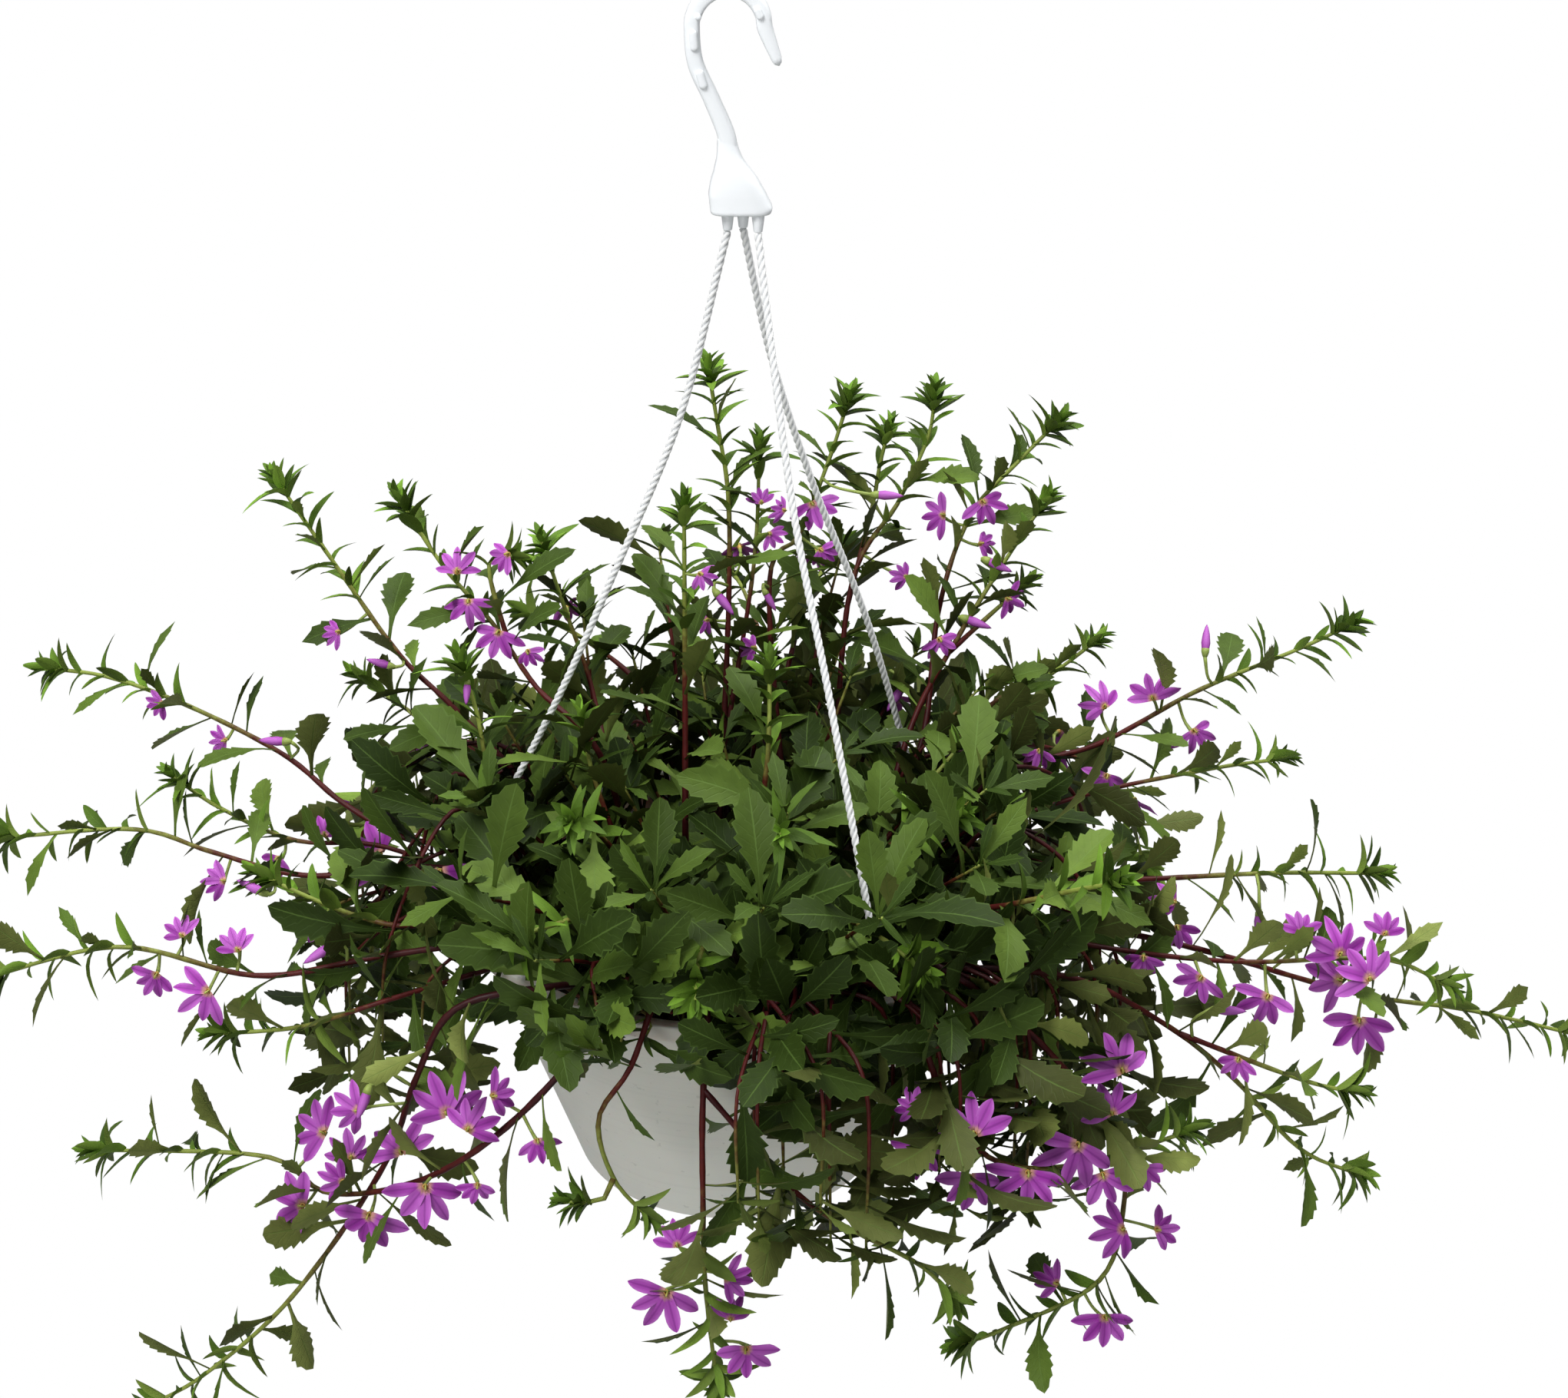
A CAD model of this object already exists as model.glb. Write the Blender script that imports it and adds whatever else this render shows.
"""A trailing fan-flower plant in a white plastic hanging pot, on three twisted cords and a moulded hook.

Run as a script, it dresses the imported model. All tables are in millimetres, +Z up, from the point where the
hook bears on whatever holds it, and meshes are made in metres.
"""

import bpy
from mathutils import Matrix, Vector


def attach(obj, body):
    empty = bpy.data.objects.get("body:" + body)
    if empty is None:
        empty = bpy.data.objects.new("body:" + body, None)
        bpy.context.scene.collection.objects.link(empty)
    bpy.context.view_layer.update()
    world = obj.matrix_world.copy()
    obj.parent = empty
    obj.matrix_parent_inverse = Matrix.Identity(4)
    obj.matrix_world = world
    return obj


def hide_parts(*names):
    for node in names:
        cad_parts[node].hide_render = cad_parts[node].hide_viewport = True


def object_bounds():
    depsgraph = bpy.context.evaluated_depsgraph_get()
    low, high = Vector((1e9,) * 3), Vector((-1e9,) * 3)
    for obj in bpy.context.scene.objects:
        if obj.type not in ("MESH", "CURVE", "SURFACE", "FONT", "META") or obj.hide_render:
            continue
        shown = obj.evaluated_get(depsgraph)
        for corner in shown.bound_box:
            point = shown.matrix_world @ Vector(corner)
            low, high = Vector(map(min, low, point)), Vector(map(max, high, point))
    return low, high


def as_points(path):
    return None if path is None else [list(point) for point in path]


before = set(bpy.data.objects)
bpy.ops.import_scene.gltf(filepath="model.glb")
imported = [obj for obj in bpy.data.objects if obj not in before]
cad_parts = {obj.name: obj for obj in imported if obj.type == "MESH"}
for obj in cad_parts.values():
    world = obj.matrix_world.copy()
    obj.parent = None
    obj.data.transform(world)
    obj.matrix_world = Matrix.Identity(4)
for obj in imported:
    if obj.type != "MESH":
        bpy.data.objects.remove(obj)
CAD_BOX = [list(corner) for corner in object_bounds()]

import functools
import math

import bpy
import numpy as np
from bpy.props import FloatProperty, FloatVectorProperty, IntProperty, PointerProperty

bl_info = {
    "name": "Fan-flower hanging basket",
    "version": (1, 0, 0),
    "blender": (4, 5, 0),
    "location": "3D View > Sidebar > Basket",
    "description": "Builds the pot, cords, hook, stems, leaves and flowers of a hanging basket",
    "category": "Add Mesh",
}

# ---- sizes shared with the part's source, in millimetres --------------------------------------------

MM = 0.001
RIM_Z = -418
POT = {"rim": 127, "wall_top": 123, "base": 66, "foot": 73, "height": 146, "wall": 2.4, "lip": 9,
       "foot_edge": (1.2, 6), "lip_foot": (3, 0.8), "cove": (2, 8)}
DRAIN = {"count": 4, "radius": 4, "ring": 44, "cut": 6}
SOIL = {"top": -18, "floor_gap": 0.5, "clearance": 0.8, "bump": 3, "lumps": 1.4, "level_edge": 6, "rings": 44,
        "sides": 96}
HOOK = {"inner": 12.5, "strap": 6.6, "depth": 9, "before_tip": (17.4, -19), "tip": (21, -28),
        "tip_halves": [2.6, 1.9]}
# The strap's middle line (x, z, half its width) from inside the base up to the arch, and the base's two flanks
# from the top down.
HOOK_STRAP = [(2, -80, 5), (0.1, -67, 4.7), (-0.9, -57, 4), (-7, -42, 3.6), (-13.6, -27, 3.4)]
HOOK_BASE = {
    "bottom": -90.5,
    "left": [(-4.9, -66), (-6.2, -72), (-7.9, -77.5), (-8.4, -82), (-7.9, -87.5)],
    "right": [(5.4, -66), (7.6, -69.5), (12.2, -75.6), (15.6, -81.5), (18.6, -87.5)],
}
# The fine base, ring by ring: height over its underside, how far its flanks are drawn in, and its depth.
BASE_RINGS = [(0, 2.4, 12), (0.5, 0.8, 14.3), (1.6, 0.15, 15), (3, 0, 15), (6, 0, 15), (8.5, 0, 15), (11.5, 0, 14.8),
              (14.5, 0, 14.3), (17.5, 0, 13.5), (20.5, 0, 12.4), (23.5, 0, 11.2), (26.5, 0, 10), (29.5, 0, 9.2),
              (32.5, 0, 8.7)]
NECK = {"height": -58, "left": -4.6, "right": 2.9}  # where the base's flanks run out into the strap
# The oblong bosses on the hook's face: (x, z) of both ends, and radius.
BOSSES = [((-14.6, -12.5), (-13.9, -21.5), 1.8), ((-12.3, -29), (-9.9, -37), 1.8), ((11.2, -3.6), (13.6, -8.6), 1.5),
          ((-11.6, -6.4), (-13.2, -8.6), 1.5)]
BOSS_DEPTH = 2.6
SLEEVE = {"length": 7, "top": 2.9, "end": 1.9}
CORD = {"radius": 1.7, "clear": 1, "strands": 3, "sides": 21, "rings_per_mm": 1.3}
CLIP = {"gap": 0.35, "crown": 3.2}
STALK = {"base": 2.5, "tip": 1.2, "root_depth": 12, "rises": (1, 9), "first_leaf": 16}
FORK = {"thick": 0.75, "scale": 0.85, "age": 0.8, "leaves_from": 0.4}
LEAF = {"every": 45, "tail_clear": 20, "fold": 0.22, "curl": 0.22, "thick": 0.35, "face_up": 0.9}
BLOOM = {"front": 1.3, "back": 0.9, "curl": 0.2, "reach": 0.58, "petals": 5, "wide_from": 26, "spread": (34, 41),
         "full_from": 28, "scale": (0.86, 0.95), "high": 40, "high_scale": 0.8, "neck": 2.8}
LARGEST_BUD = 18
OWN_BLOOM_SIZE = 33
GOLDEN_ANGLE = 2.39996

# Each cord's way from sleeve to rim clip, and the share of it that the photograph shows.
CORD_ROUTES = {
    "cord_left": {"exit": (-0.3, 0), "bow": [(-21, 0, -181), (-51, 0, -255), (-81, 0, -324)], "azimuth": 180,
                  "seen": 0.85},
    "cord_front": {"exit": (12.6, -3), "bow": [(19, -20, -149), (29, -42, -216), (44, -66, -288)], "azimuth": -57,
                   "seen": 0.88},
    "cord_back": {"exit": (6.3, 4), "bow": [(19, 19, -161), (39, 36, -228), (67, 55, -307)], "azimuth": 40,
                  "seen": 0.88},
}


def stem(name, root, leaves, run, blooms=(), forks=(), rear=False):
    """A leafy stem: where it stands in the soil, its leaf length near the soil and near its tip, the points that it
    runs through (x, y, height over the rim), its blooms, and the shoots that fork off it at a share of its length.
    A bloom is x, y, height, width of the fan and the way that it opens, in degrees clockwise from +X."""
    return {"name": f"stem_{name}", "root": root, "leaves": leaves, "run": run, "blooms": blooms, "forks": forks,
            "rear": rear}


STEMS = [
    stem("left_top", (-60, 30), (50, 22), [(-130, 60, 60), (-160, 75, 85), (-190, 90, 125), (-220, 100, 170)],
         blooms=[(-162, 65, 84, 16, 200), (-189, 71, 100, 22, 170)], forks=[(0.32, [(-150, 88, 42),
         (-190, 110, 60)])]),
    stem("left_red", (-42, 8), (50, 24), [(-60, 0, 70), (-90, 20, 95), (-110, 35, 120), (-135, 50, 145),
         (-155, 60, 175)], blooms=[(-93, 22, 115, 22, 60), (-107, 27, 120, 30, 100), (-121, 31, 134, 28, 90),
         (-126, 40, 147, 28, 270), (-102, 40, 156, 25, 150)], forks=[(0.66, [(-112, 44, 148), (-95, 50, 147)]),
         (0.3, [(-66, 45, 85), (-78, 55, 120), (-89, 60, 155)])]),
    stem("centre_up", (-20, -15), (56, 38), [(-20, -15, 40), (-20, 0, 90), (-20, 10, 145), (-20, 15, 190)],
         blooms=[(-13, 3, 160, 22, 45)]),
    stem("top_left", (-5, 40), (54, 18), [(0, 80, 105), (0, 95, 160), (-5, 100, 195), (-10, 105, 225)],
         blooms=[(-10, 70, 107, 20, 150), (-7, 72, 122, 18, 45), (8, 74, 92, 22, 180), (20, 94, 142, 22, 30),
         (16, 97, 157, 20, 260), (27, 97, 155, 20, 200)], forks=[(0.3, [(10, 84, 110), (14, 100, 145),
         (15, 112, 185)])]),
    stem("top_right", (30, 45), (50, 20), [(20, 90, 115), (35, 110, 135), (50, 125, 170), (60, 135, 200)],
         blooms=[(17, 82, 118, 14, 60), (45, 98, 132, 24, 45), (41, 108, 152, 32, 60), (57, 106, 154, 18, 0)]),
    stem("back_right", (52, 62), (56, 24), [(60, 105, 105), (85, 130, 145), (100, 145, 175), (102, 150, 197)],
         blooms=[(87, 83, 66, 18, 120), (88, 106, 114, 22, 200)], forks=[(0.55, [(72, 132, 142), (75, 136, 160),
         (80, 140, 182)])]),
    stem("right_top", (66, 32), (50, 22), [(94, 56, 45), (104, 98, 100), (120, 122, 140), (145, 135, 165),
         (165, 140, 185)], blooms=[(106, 115, 143, 28, 180), (124, 110, 130, 22, 0), (125, 116, 150, 30, 60)]),
    stem("right_bush", (66, 8), (54, 26), [(88, 46, 60), (112, 76, 95), (135, 98, 125), (157, 112, 155)],
         blooms=[(102, 72, 98, 26, 70), (113, 78, 105, 18, 20), (124, 94, 129, 18, 20), (136, 90, 112, 26, 30)],
         forks=[(0.62, [(135, 92, 106), (150, 100, 115)]), (0.22, [(125, 62, 62), (160, 80, 74), (185, 90, 90)])]),
    stem("right_up", (86, 0), (52, 18), [(115, 28, 38), (180, 60, 44), (230, 75, 66), (280, 80, 87), (306, 80, 101)],
         blooms=[(126, 22, 40, 18, 90), (150, 44, 52, 24, 100), (184, 66, 62, 30, 240), (207, 68, 68, 33, 248),
         (228, 62, 51, 28, 60), (233, 75, 85, 18, 280), (182, 32, 42, 28, 110)], forks=[(0.16, [(165, 30, 30),
         (235, 50, 36), (276, 60, 37)])]),
    stem("right_flat", (88, -32), (52, 20), [(120, -24, 14), (155, -12, 8), (200, -7, 7), (260, -3, 8), (312, 0, 6)],
         blooms=[(210, -18, 1, 24, 200), (251, -16, -4, 16, 90)]),
    stem("right_far", (74, -46), (50, 22), [(112, -54, 18), (155, -52, 10), (215, -50, -5), (295, -40, -36),
         (350, -32, -50), (408, -30, -66)], blooms=[(205, -56, 10, 24, 80), (279, -46, -22, 32, 190),
         (295, -50, -44, 34, 90), (186, -82, 10, 20, 90), (212, -80, 1, 26, 120), (244, -80, -12, 28, 110),
         (259, -66, 13, 22, 270), (276, -68, 6, 30, 260), (288, -74, -4, 32, 240), (298, -64, 11, 22, 280)],
         forks=[(0.16, [(165, -76, 12), (230, -70, 0), (300, -60, -5), (336, -56, -24)])]),
    stem("right_face", (60, -60), (58, 42), [(95, -76, 26), (125, -95, 45), (150, -112, 62), (166, -132, 77)]),
    stem("right_low", (60, -73), (52, 26), [(88, -102, 16), (150, -92, 6), (195, -85, -22), (230, -85, -52),
         (265, -85, -92), (297, -85, -108)], blooms=[(217, -88, -14, 18, 0), (231, -92, -38, 22, 100)],
         forks=[(0.62, [(262, -88, -52), (290, -90, -58)])]),
    stem("right_bloom", (44, -84), (54, 20), [(74, -122, 18), (92, -148, -18), (115, -152, -50), (155, -140, -61),
         (210, -120, -56)], blooms=[(80, -155, -21, 20, 200), (82, -160, -36, 28, 90), (105, -156, -30, 34, 250),
         (104, -160, -53, 30, 100), (129, -156, -50, 32, 100), (152, -146, -46, 36, 120), (164, -146, -62, 28, 70),
         (183, -138, -64, 24, 80)]),
    stem("right_hang", (44, -70), (50, 30), [(84, -111, 26), (135, -122, -8), (172, -124, -60), (178, -126, -95),
         (168, -132, -132), (125, -135, -157), (104, -135, -166)], blooms=[(171, -134, -16, 32, 250),
         (168, -134, -38, 28, 250), (176, -134, -97, 28, 170), (192, -134, -101, 24, 0), (170, -144, -142, 28, 100),
         (149, -134, -131, 22, 200)]),
    stem("front", (-4, -88), (54, 34), [(-8, -124, 14), (-11, -150, -22), (-11, -164, -60), (-10, -169, -105),
         (-5, -170, -160)], blooms=[(-22, -174, -79, 24, 260), (-27, -178, -101, 32, 120), (-1, -176, -95, 24, 10),
         (1, -175, -118, 22, 270), (13, -174, -132, 28, 80), (-4, -172, -166, 30, 90)],
         forks=[(0.42, [(34, -166, -62), (84, -162, -99), (102, -156, -126)])]),
    stem("front_left", (-22, -82), (40, 26), [(-30, -120, 16), (-42, -143, -8), (-56, -150, -30), (-50, -152, -60),
         (-34, -150, -84)], forks=[(0.85, [(-56, -158, -68), (-72, -160, -66)])]),
    stem("left_low", (-44, -74), (52, 24), [(-80, -124, 20), (-118, -132, 14), (-136, -134, -20), (-155, -124, -75),
         (-200, -126, -145), (-245, -120, -195), (-276, -120, -216)], blooms=[(-155, -142, -18, 18, 110),
         (-122, -144, -31, 34, 250), (-161, -142, -31, 26, 180), (-143, -144, -52, 32, 250),
         (-159, -144, -85, 34, 100)]),
    stem("left_flat", (-30, -94), (50, 18), [(-52, -124, 14), (-72, -144, -10), (-105, -148, -44), (-140, -142, -70),
         (-180, -127, -86), (-210, -112, -77), (-292, -100, -82)], blooms=[(-101, -153, -16, 24, 0),
         (-82, -160, -34, 22, 80), (-112, -150, -32, 28, 300), (-109, -156, -60, 20, 100),
         (-132, -150, -62, 34, 100), (-171, -136, -73, 24, 200), (-168, -128, -66, 26, 270),
         (-190, -134, -88, 32, 190), (-182, -112, -64, 30, 200)]),
    stem("left_far", (-72, -52), (44, 20), [(-100, -82, 18), (-155, -90, 15), (-210, -90, 5), (-270, -90, 20),
         (-332, -90, 4)], blooms=[(-217, -93, 20, 22, 250), (-230, -98, 5, 28, 150), (-241, -92, 27, 20, 240),
         (-253, -98, 11, 24, 120), (-174, -94, 24, 18, 150)], forks=[(0.13, [(-150, -112, 6), (-190, -102, -14),
         (-232, -96, -22)])]),
    stem("left_tuft", (-84, -30), (50, 26), [(-116, -58, 20), (-142, -72, 20), (-165, -68, 22), (-190, -66, 32),
         (-212, -62, 42)], blooms=[(-182, -74, 22, 22, 60), (-206, -70, 35, 18, 200)]),
    stem("left_mid", (-88, -10), (52, 20), [(-130, -34, 28), (-195, -30, 22), (-240, -22, 30), (-276, -20, 41),
         (-342, -20, 36)], blooms=[(-132, -43, 32, 36, 90), (-169, -40, 27, 22, 200), (-233, -30, 22, 22, 190),
         (-118, -30, 10, 20, 180), (-190, -6, 30, 22, 280), (-212, -8, 19, 22, 110)], forks=[(0.1, [(-160, -4, 22),
         (-205, 0, 24), (-240, 0, 42), (-262, 0, 60)])]),
    stem("left_up", (-76, 20), (54, 20), [(-114, 16, 18), (-150, 12, 17), (-185, 30, 27), (-215, 45, 46),
         (-260, 55, 67), (-300, 60, 81), (-332, 60, 86)], blooms=[(-166, 5, 14, 34, 210), (-210, 36, 58, 18, 180),
         (-243, 44, 55, 22, 170), (-273, 50, 72, 22, 160)]),
    stem("left_in", (-60, -12), (50, 30), [(-96, -20, 30), (-110, -10, 55), (-116, 0, 90), (-125, 10, 116)],
         blooms=[(-120, 2, 108, 14, 90)]),
    stem("crown_front", (-2, -62), (56, 44), [(-6, -90, 24), (-12, -122, 36), (-14, -150, 30)]),
    stem("crown_right", (28, -50), (58, 44), [(42, -74, 26), (62, -110, 40), (84, -138, 36)]),
    stem("crown_left", (-46, -46), (58, 44), [(-58, -76, 28), (-76, -108, 42), (-96, -124, 44)]),
    stem("crown_mid", (6, -22), (56, 42), [(12, -30, 36), (18, -22, 80), (19, 0, 120)], forks=[(0.3, [(24, -66, 62),
         (22, -92, 78)])]),
    stem("crown_side", (46, -26), (56, 42), [(62, -38, 30), (84, -48, 56), (104, -66, 74)],
         forks=[(0.4, [(92, -16, 62), (112, -6, 84)])]),
    stem("crown_inner", (-36, -22), (56, 42), [(-50, -36, 34), (-62, -56, 62), (-70, -80, 78)],
         forks=[(0.35, [(-62, -16, 66), (-68, -6, 96)])]),
    stem("rear_left", (-42, 76), (50, 22), [(-60, 118, 18), (-85, 165, 5), (-105, 205, -42), (-116, 226, -98)],
         blooms=[(-88, 178, 0, 30, 100), (-104, 214, -48, 34, 80), (-118, 234, -92, 28, 90),
         (-146, 194, -30, 30, 110)], forks=[(0.35, [(-112, 158, 8), (-142, 182, -22), (-158, 192, -70)])],
         rear=True),
    stem("rear_mid", (0, 88), (52, 22), [(0, 126, 18), (5, 170, 13), (10, 212, -22), (10, 236, -82),
         (16, 242, -142)], blooms=[(8, 184, 14, 30, 90), (14, 222, -30, 34, 70), (6, 246, -92, 30, 110),
         (-34, 234, -64, 30, 100)], forks=[(0.4, [(-22, 205, -18), (-38, 226, -62), (-40, 234, -110)])], rear=True),
    stem("rear_right", (40, 78), (50, 22), [(60, 114, 20), (85, 162, 10), (106, 200, -32), (112, 222, -92)],
         blooms=[(90, 174, 6, 30, 100), (112, 212, -44, 34, 90), (58, 224, -46, 30, 80)],
         forks=[(0.36, [(62, 186, 4), (60, 216, -36), (64, 230, -80)])], rear=True),
    stem("rear_side", (74, 52), (52, 22), [(112, 84, 22), (160, 116, 15), (205, 140, -22), (226, 150, -78)],
         blooms=[(172, 128, 10, 30, 60), (216, 152, -36, 34, 90), (178, 182, -24, 30, 90)],
         forks=[(0.32, [(142, 136, 18), (168, 166, -6), (182, 180, -52)])], rear=True),
    stem("rear_port", (-74, 54), (52, 22), [(-108, 86, 20), (-150, 125, 14), (-186, 150, -22), (-201, 160, -74)],
         blooms=[(-158, 138, 6, 30, 100), (-196, 166, -40, 34, 90)], rear=True),
    stem("rear_up", (20, 96), (50, 24), [(28, 112, 50), (42, 160, 80), (60, 206, 90)], blooms=[(46, 176, 92, 28, 60),
         (6, 184, 92, 28, 120)], forks=[(0.4, [(10, 160, 78), (-2, 196, 84)])], rear=True),
    stem("rear_arch", (-24, 98), (50, 24), [(-40, 116, 42), (-75, 150, 60), (-110, 186, 60)],
         blooms=[(-84, 162, 68, 30, 140)], rear=True),
]

# ---- numbers and directions -------------------------------------------------------------------------

X = np.array([1.0, 0, 0])
Z = np.array([0, 0, 1.0])
ROOM_AT_ENDS = 0.01  # share of a curve over which its direction is read
CHORDS = 200  # by which a route's length is measured
NEARLY_UP = 0.95  # height of a unit heading that counts as upright


def unit(rows):
    """Each row divided by its length."""
    return rows / np.linalg.norm(rows, axis=-1, keepdims=True)


def mix(one, other, share):
    return one + (other - one) * share


def circle(sides):
    """The angles of a ring's points."""
    return np.arange(sides) / sides * 2 * np.pi


def level(angle):
    """The direction at an angle from +X in the level plane, as (x, y)."""
    return np.array([math.cos(angle), math.sin(angle)])


def from_rim(rows):
    """Points whose heights are counted from the pot's rim, as points from the hook."""
    return np.asarray(rows, float) + (0, 0, RIM_Z)


def smooth(share):
    """0 to 1 with level ends: 3x² − 2x³."""
    share = np.clip(share, 0, 1)
    return share * share * (3 - 2 * share)


def seeded(seed):
    """The part's repeatable numbers: a 32-bit state stepped by a constant, and mixed by shifts and products."""
    mask = 0xFFFFFFFF
    state = seed & mask

    def draw():
        nonlocal state
        state = (state + 0x6D2B79F5) & mask
        mixed = ((state ^ (state >> 15)) * (state | 1)) & mask
        mixed ^= (mixed + ((mixed ^ (mixed >> 7)) * (mixed | 61) & mask)) & mask
        return ((mixed ^ (mixed >> 14)) & mask) / 4294967296

    return draw


class Route:
    """A smooth line through points: on each span, the cubic whose end slopes are half the step between the
    neighbours of that end. Beyond the ends, the first and last spans are mirrored. Shares of its length are read
    from chords."""

    def __init__(self, points):
        points = np.asarray(points, float)
        self.knots = np.vstack([2 * points[0] - points[1], points, 2 * points[-1] - points[-2]])
        self.marks = np.linspace(0, 1, CHORDS + 1)
        chords = np.linalg.norm(np.diff(self.span(self.marks), axis=0), axis=1)
        self.run = np.concatenate([[0], np.cumsum(chords)])
        self.length = self.run[-1]

    def span(self, t):
        spans = len(self.knots) - 3
        place = np.asarray(t, float) * spans
        first = np.clip(np.floor(place).astype(int), 0, spans - 1)
        w = (place - first)[..., None]
        a, b, c, d = (self.knots[first + k] for k in range(4))
        start, end = (c - a) / 2, (d - b) / 2
        return b + start * w + (3 * (c - b) - 2 * start - end) * w**2 + (2 * (b - c) + start + end) * w**3

    def at(self, share):
        return self.span(np.interp(np.asarray(share, float) * self.length, self.run, self.marks))

    def heading(self, share):
        share = np.asarray(share, float)
        ahead, behind = np.minimum(1, share + ROOM_AT_ENDS), np.maximum(0, share - ROOM_AT_ENDS)
        return unit(self.at(ahead) - self.at(behind))


def around(heading):
    """Two directions square to each heading: the first as far up as it can be, the second level."""
    aside = np.where(np.abs(heading[..., 2:]) > NEARLY_UP, X, Z)
    side = unit(np.cross(heading, aside))
    return unit(np.cross(side, heading)), side


def carried(headings):
    """Directions square to a run of headings, turned along with them without twist."""
    ups = [around(headings[:1])[0][0]]
    for heading in headings[1:]:
        ups.append(unit(ups[-1] - heading * ups[-1].dot(heading)))
    ups = np.array(ups)
    return ups, np.cross(headings, ups)


# ---- surfaces ---------------------------------------------------------------------------------------

MARKS = ("tint", "young")


class Surface:
    """Gathers closed sheets of points and faces, in millimetres, and makes one piece of them. A face has four
    corners, or three and -1."""

    def __init__(self):
        self.points, self.faces, self.uv, self.sharp, self.under, self.look = [], [], [], [], [], []
        self.marks = {name: [] for name in MARKS}
        self.count = 0

    def add(self, points, faces, uv, sharp=None, under=None, look=0, **marks):
        size = len(points)
        self.points.append(points)
        self.faces.append(np.where(faces < 0, -1, faces + self.count))
        self.uv.append(uv)
        self.sharp.append(np.zeros(size, bool) if sharp is None else sharp)
        self.under.append(np.zeros(len(faces)) if under is None else under)
        self.look.append(np.full(len(faces), look) if np.isscalar(look) else look)
        for name in MARKS:
            self.marks[name].append(np.broadcast_to(np.asarray(marks.get(name, 0.0), float), (size,)))
        self.count += size

    def piece(self, name, materials, slot, *nodes):
        """The piece as a Blender object that rides on the root and stands for the CAD nodes named."""
        faces = np.concatenate(self.faces)
        filled = faces.ravel() >= 0
        corners = faces.ravel()[filled]
        sizes = 4 - (faces[:, 3] < 0)
        uv = np.concatenate(self.uv)[np.where(faces < 0, faces[:, :1], faces)]
        wide = np.ptp(uv[..., 0], axis=1) > 0.5
        uv[..., 0] += (wide[:, None] & (uv[..., 0] < 0.5)) * 1.0
        mesh = bpy.data.meshes.new(name)
        mesh.vertices.add(self.count)
        mesh.vertices.foreach_set("co", (np.concatenate(self.points) * MM).ravel())
        mesh.loops.add(len(corners))
        mesh.loops.foreach_set("vertex_index", corners.astype(np.int32))
        mesh.polygons.add(len(faces))
        mesh.polygons.foreach_set("loop_start", (np.cumsum(sizes) - sizes).astype(np.int32))
        mesh.polygons.foreach_set("material_index", np.concatenate(self.look).astype(np.int32))
        mesh.polygons.foreach_set("use_smooth", np.ones(len(faces), bool))
        mesh.update(calc_edges=True)
        mesh.uv_layers.new(name="uv").data.foreach_set("uv", uv.reshape(-1, 2)[filled].ravel())
        for mark, parts in self.marks.items():
            mesh.attributes.new(mark, "FLOAT", "POINT").data.foreach_set("value", np.concatenate(parts))
        mesh.attributes.new("under", "FLOAT", "FACE").data.foreach_set("value", np.concatenate(self.under))
        ends = np.empty(2 * len(mesh.edges), np.int32)
        mesh.edges.foreach_get("vertices", ends)
        folds = np.concatenate(self.sharp)[ends.reshape(-1, 2)].all(axis=1)
        mesh.attributes.new("sharp_edge", "BOOLEAN", "EDGE").data.foreach_set("value", folds)
        for material in materials:
            mesh.materials.append(material)
        return placed(bpy.data.objects.new(name, mesh), slot, *nodes)


def placed(made, slot, *nodes):
    """Puts an object in the scene and tells the frame what it rides on, stands for and is made of."""
    bpy.context.scene.collection.objects.link(made)
    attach(made, "root")
    if nodes:
        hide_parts(*nodes)
    return made


def skin_over(rings, ends, share=None):
    """A closed skin over rings of points, an array (ring, side, 3), that closes at each end on a point of its own:
    its points, faces and UV. It faces outwards where the rings turn with the way they are stacked."""
    count, sides = rings.shape[:2]
    ring, side = np.meshgrid(np.arange(count - 1), np.arange(sides), indexing="ij")
    here, after = ring * sides + side, ring * sides + (side + 1) % sides
    walls = np.stack([here, after, after + sides, here + sides], axis=-1).reshape(-1, 4)
    first, last, none = np.arange(sides), (count - 1) * sides, np.full(sides, -1)
    turned_on = (first + 1) % sides
    low = np.stack([np.full(sides, count * sides), turned_on, first, none], axis=-1)
    high = np.stack([np.full(sides, count * sides + 1), last + first, last + turned_on, none], axis=-1)
    share = np.linspace(0, 1, count) if share is None else share
    uv = np.stack(np.broadcast_arrays(np.arange(sides) / sides, share[:, None]), axis=-1).reshape(-1, 2)
    return (np.vstack([rings.reshape(-1, 3), ends]), np.concatenate([walls, low, high]),
            np.vstack([uv, [0.5, 0], [0.5, 1]]))


def tube(path, radius, sides):
    """A closed tube. Point (k, a) is path[k] + radius[k, a] (up[k] cos a + side[k] sin a), with the directions
    carried along the path. Its ends close on the path's own ends."""
    path = np.asarray(path, float)
    up, side = carried(unit(np.gradient(path, axis=0)))
    angle = circle(sides)
    radius = np.broadcast_to(radius, (len(path), sides))[..., None]
    spoke = up[:, None] * np.cos(angle)[:, None] + side[:, None] * np.sin(angle)[:, None]
    run = np.concatenate([[0], np.cumsum(np.linalg.norm(np.diff(path, axis=0), axis=1))])
    return skin_over(path[:, None] + spoke * radius, path[[0, -1]], run / run[-1])


def turned(profile, sides, centre=(0, 0, 0), axis=Z, start=X):
    """A closed lathe. Point (k, a) is centre + r[k] (start cos a + axis × start sin a) + axis h[k], for every
    (r, h) of the profile, which begins and ends on the axis."""
    profile = np.asarray(profile, float)
    rim = profile[1:-1]
    angle = circle(sides)
    spoke = start * np.cos(angle)[:, None] + np.cross(axis, start) * np.sin(angle)[:, None]
    rings = spoke[None] * rim[:, 0, None, None] + axis * rim[:, 1, None, None]
    ends = axis * profile[[0, -1], 1][:, None]
    return skin_over(rings + centre, ends + centre)


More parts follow.
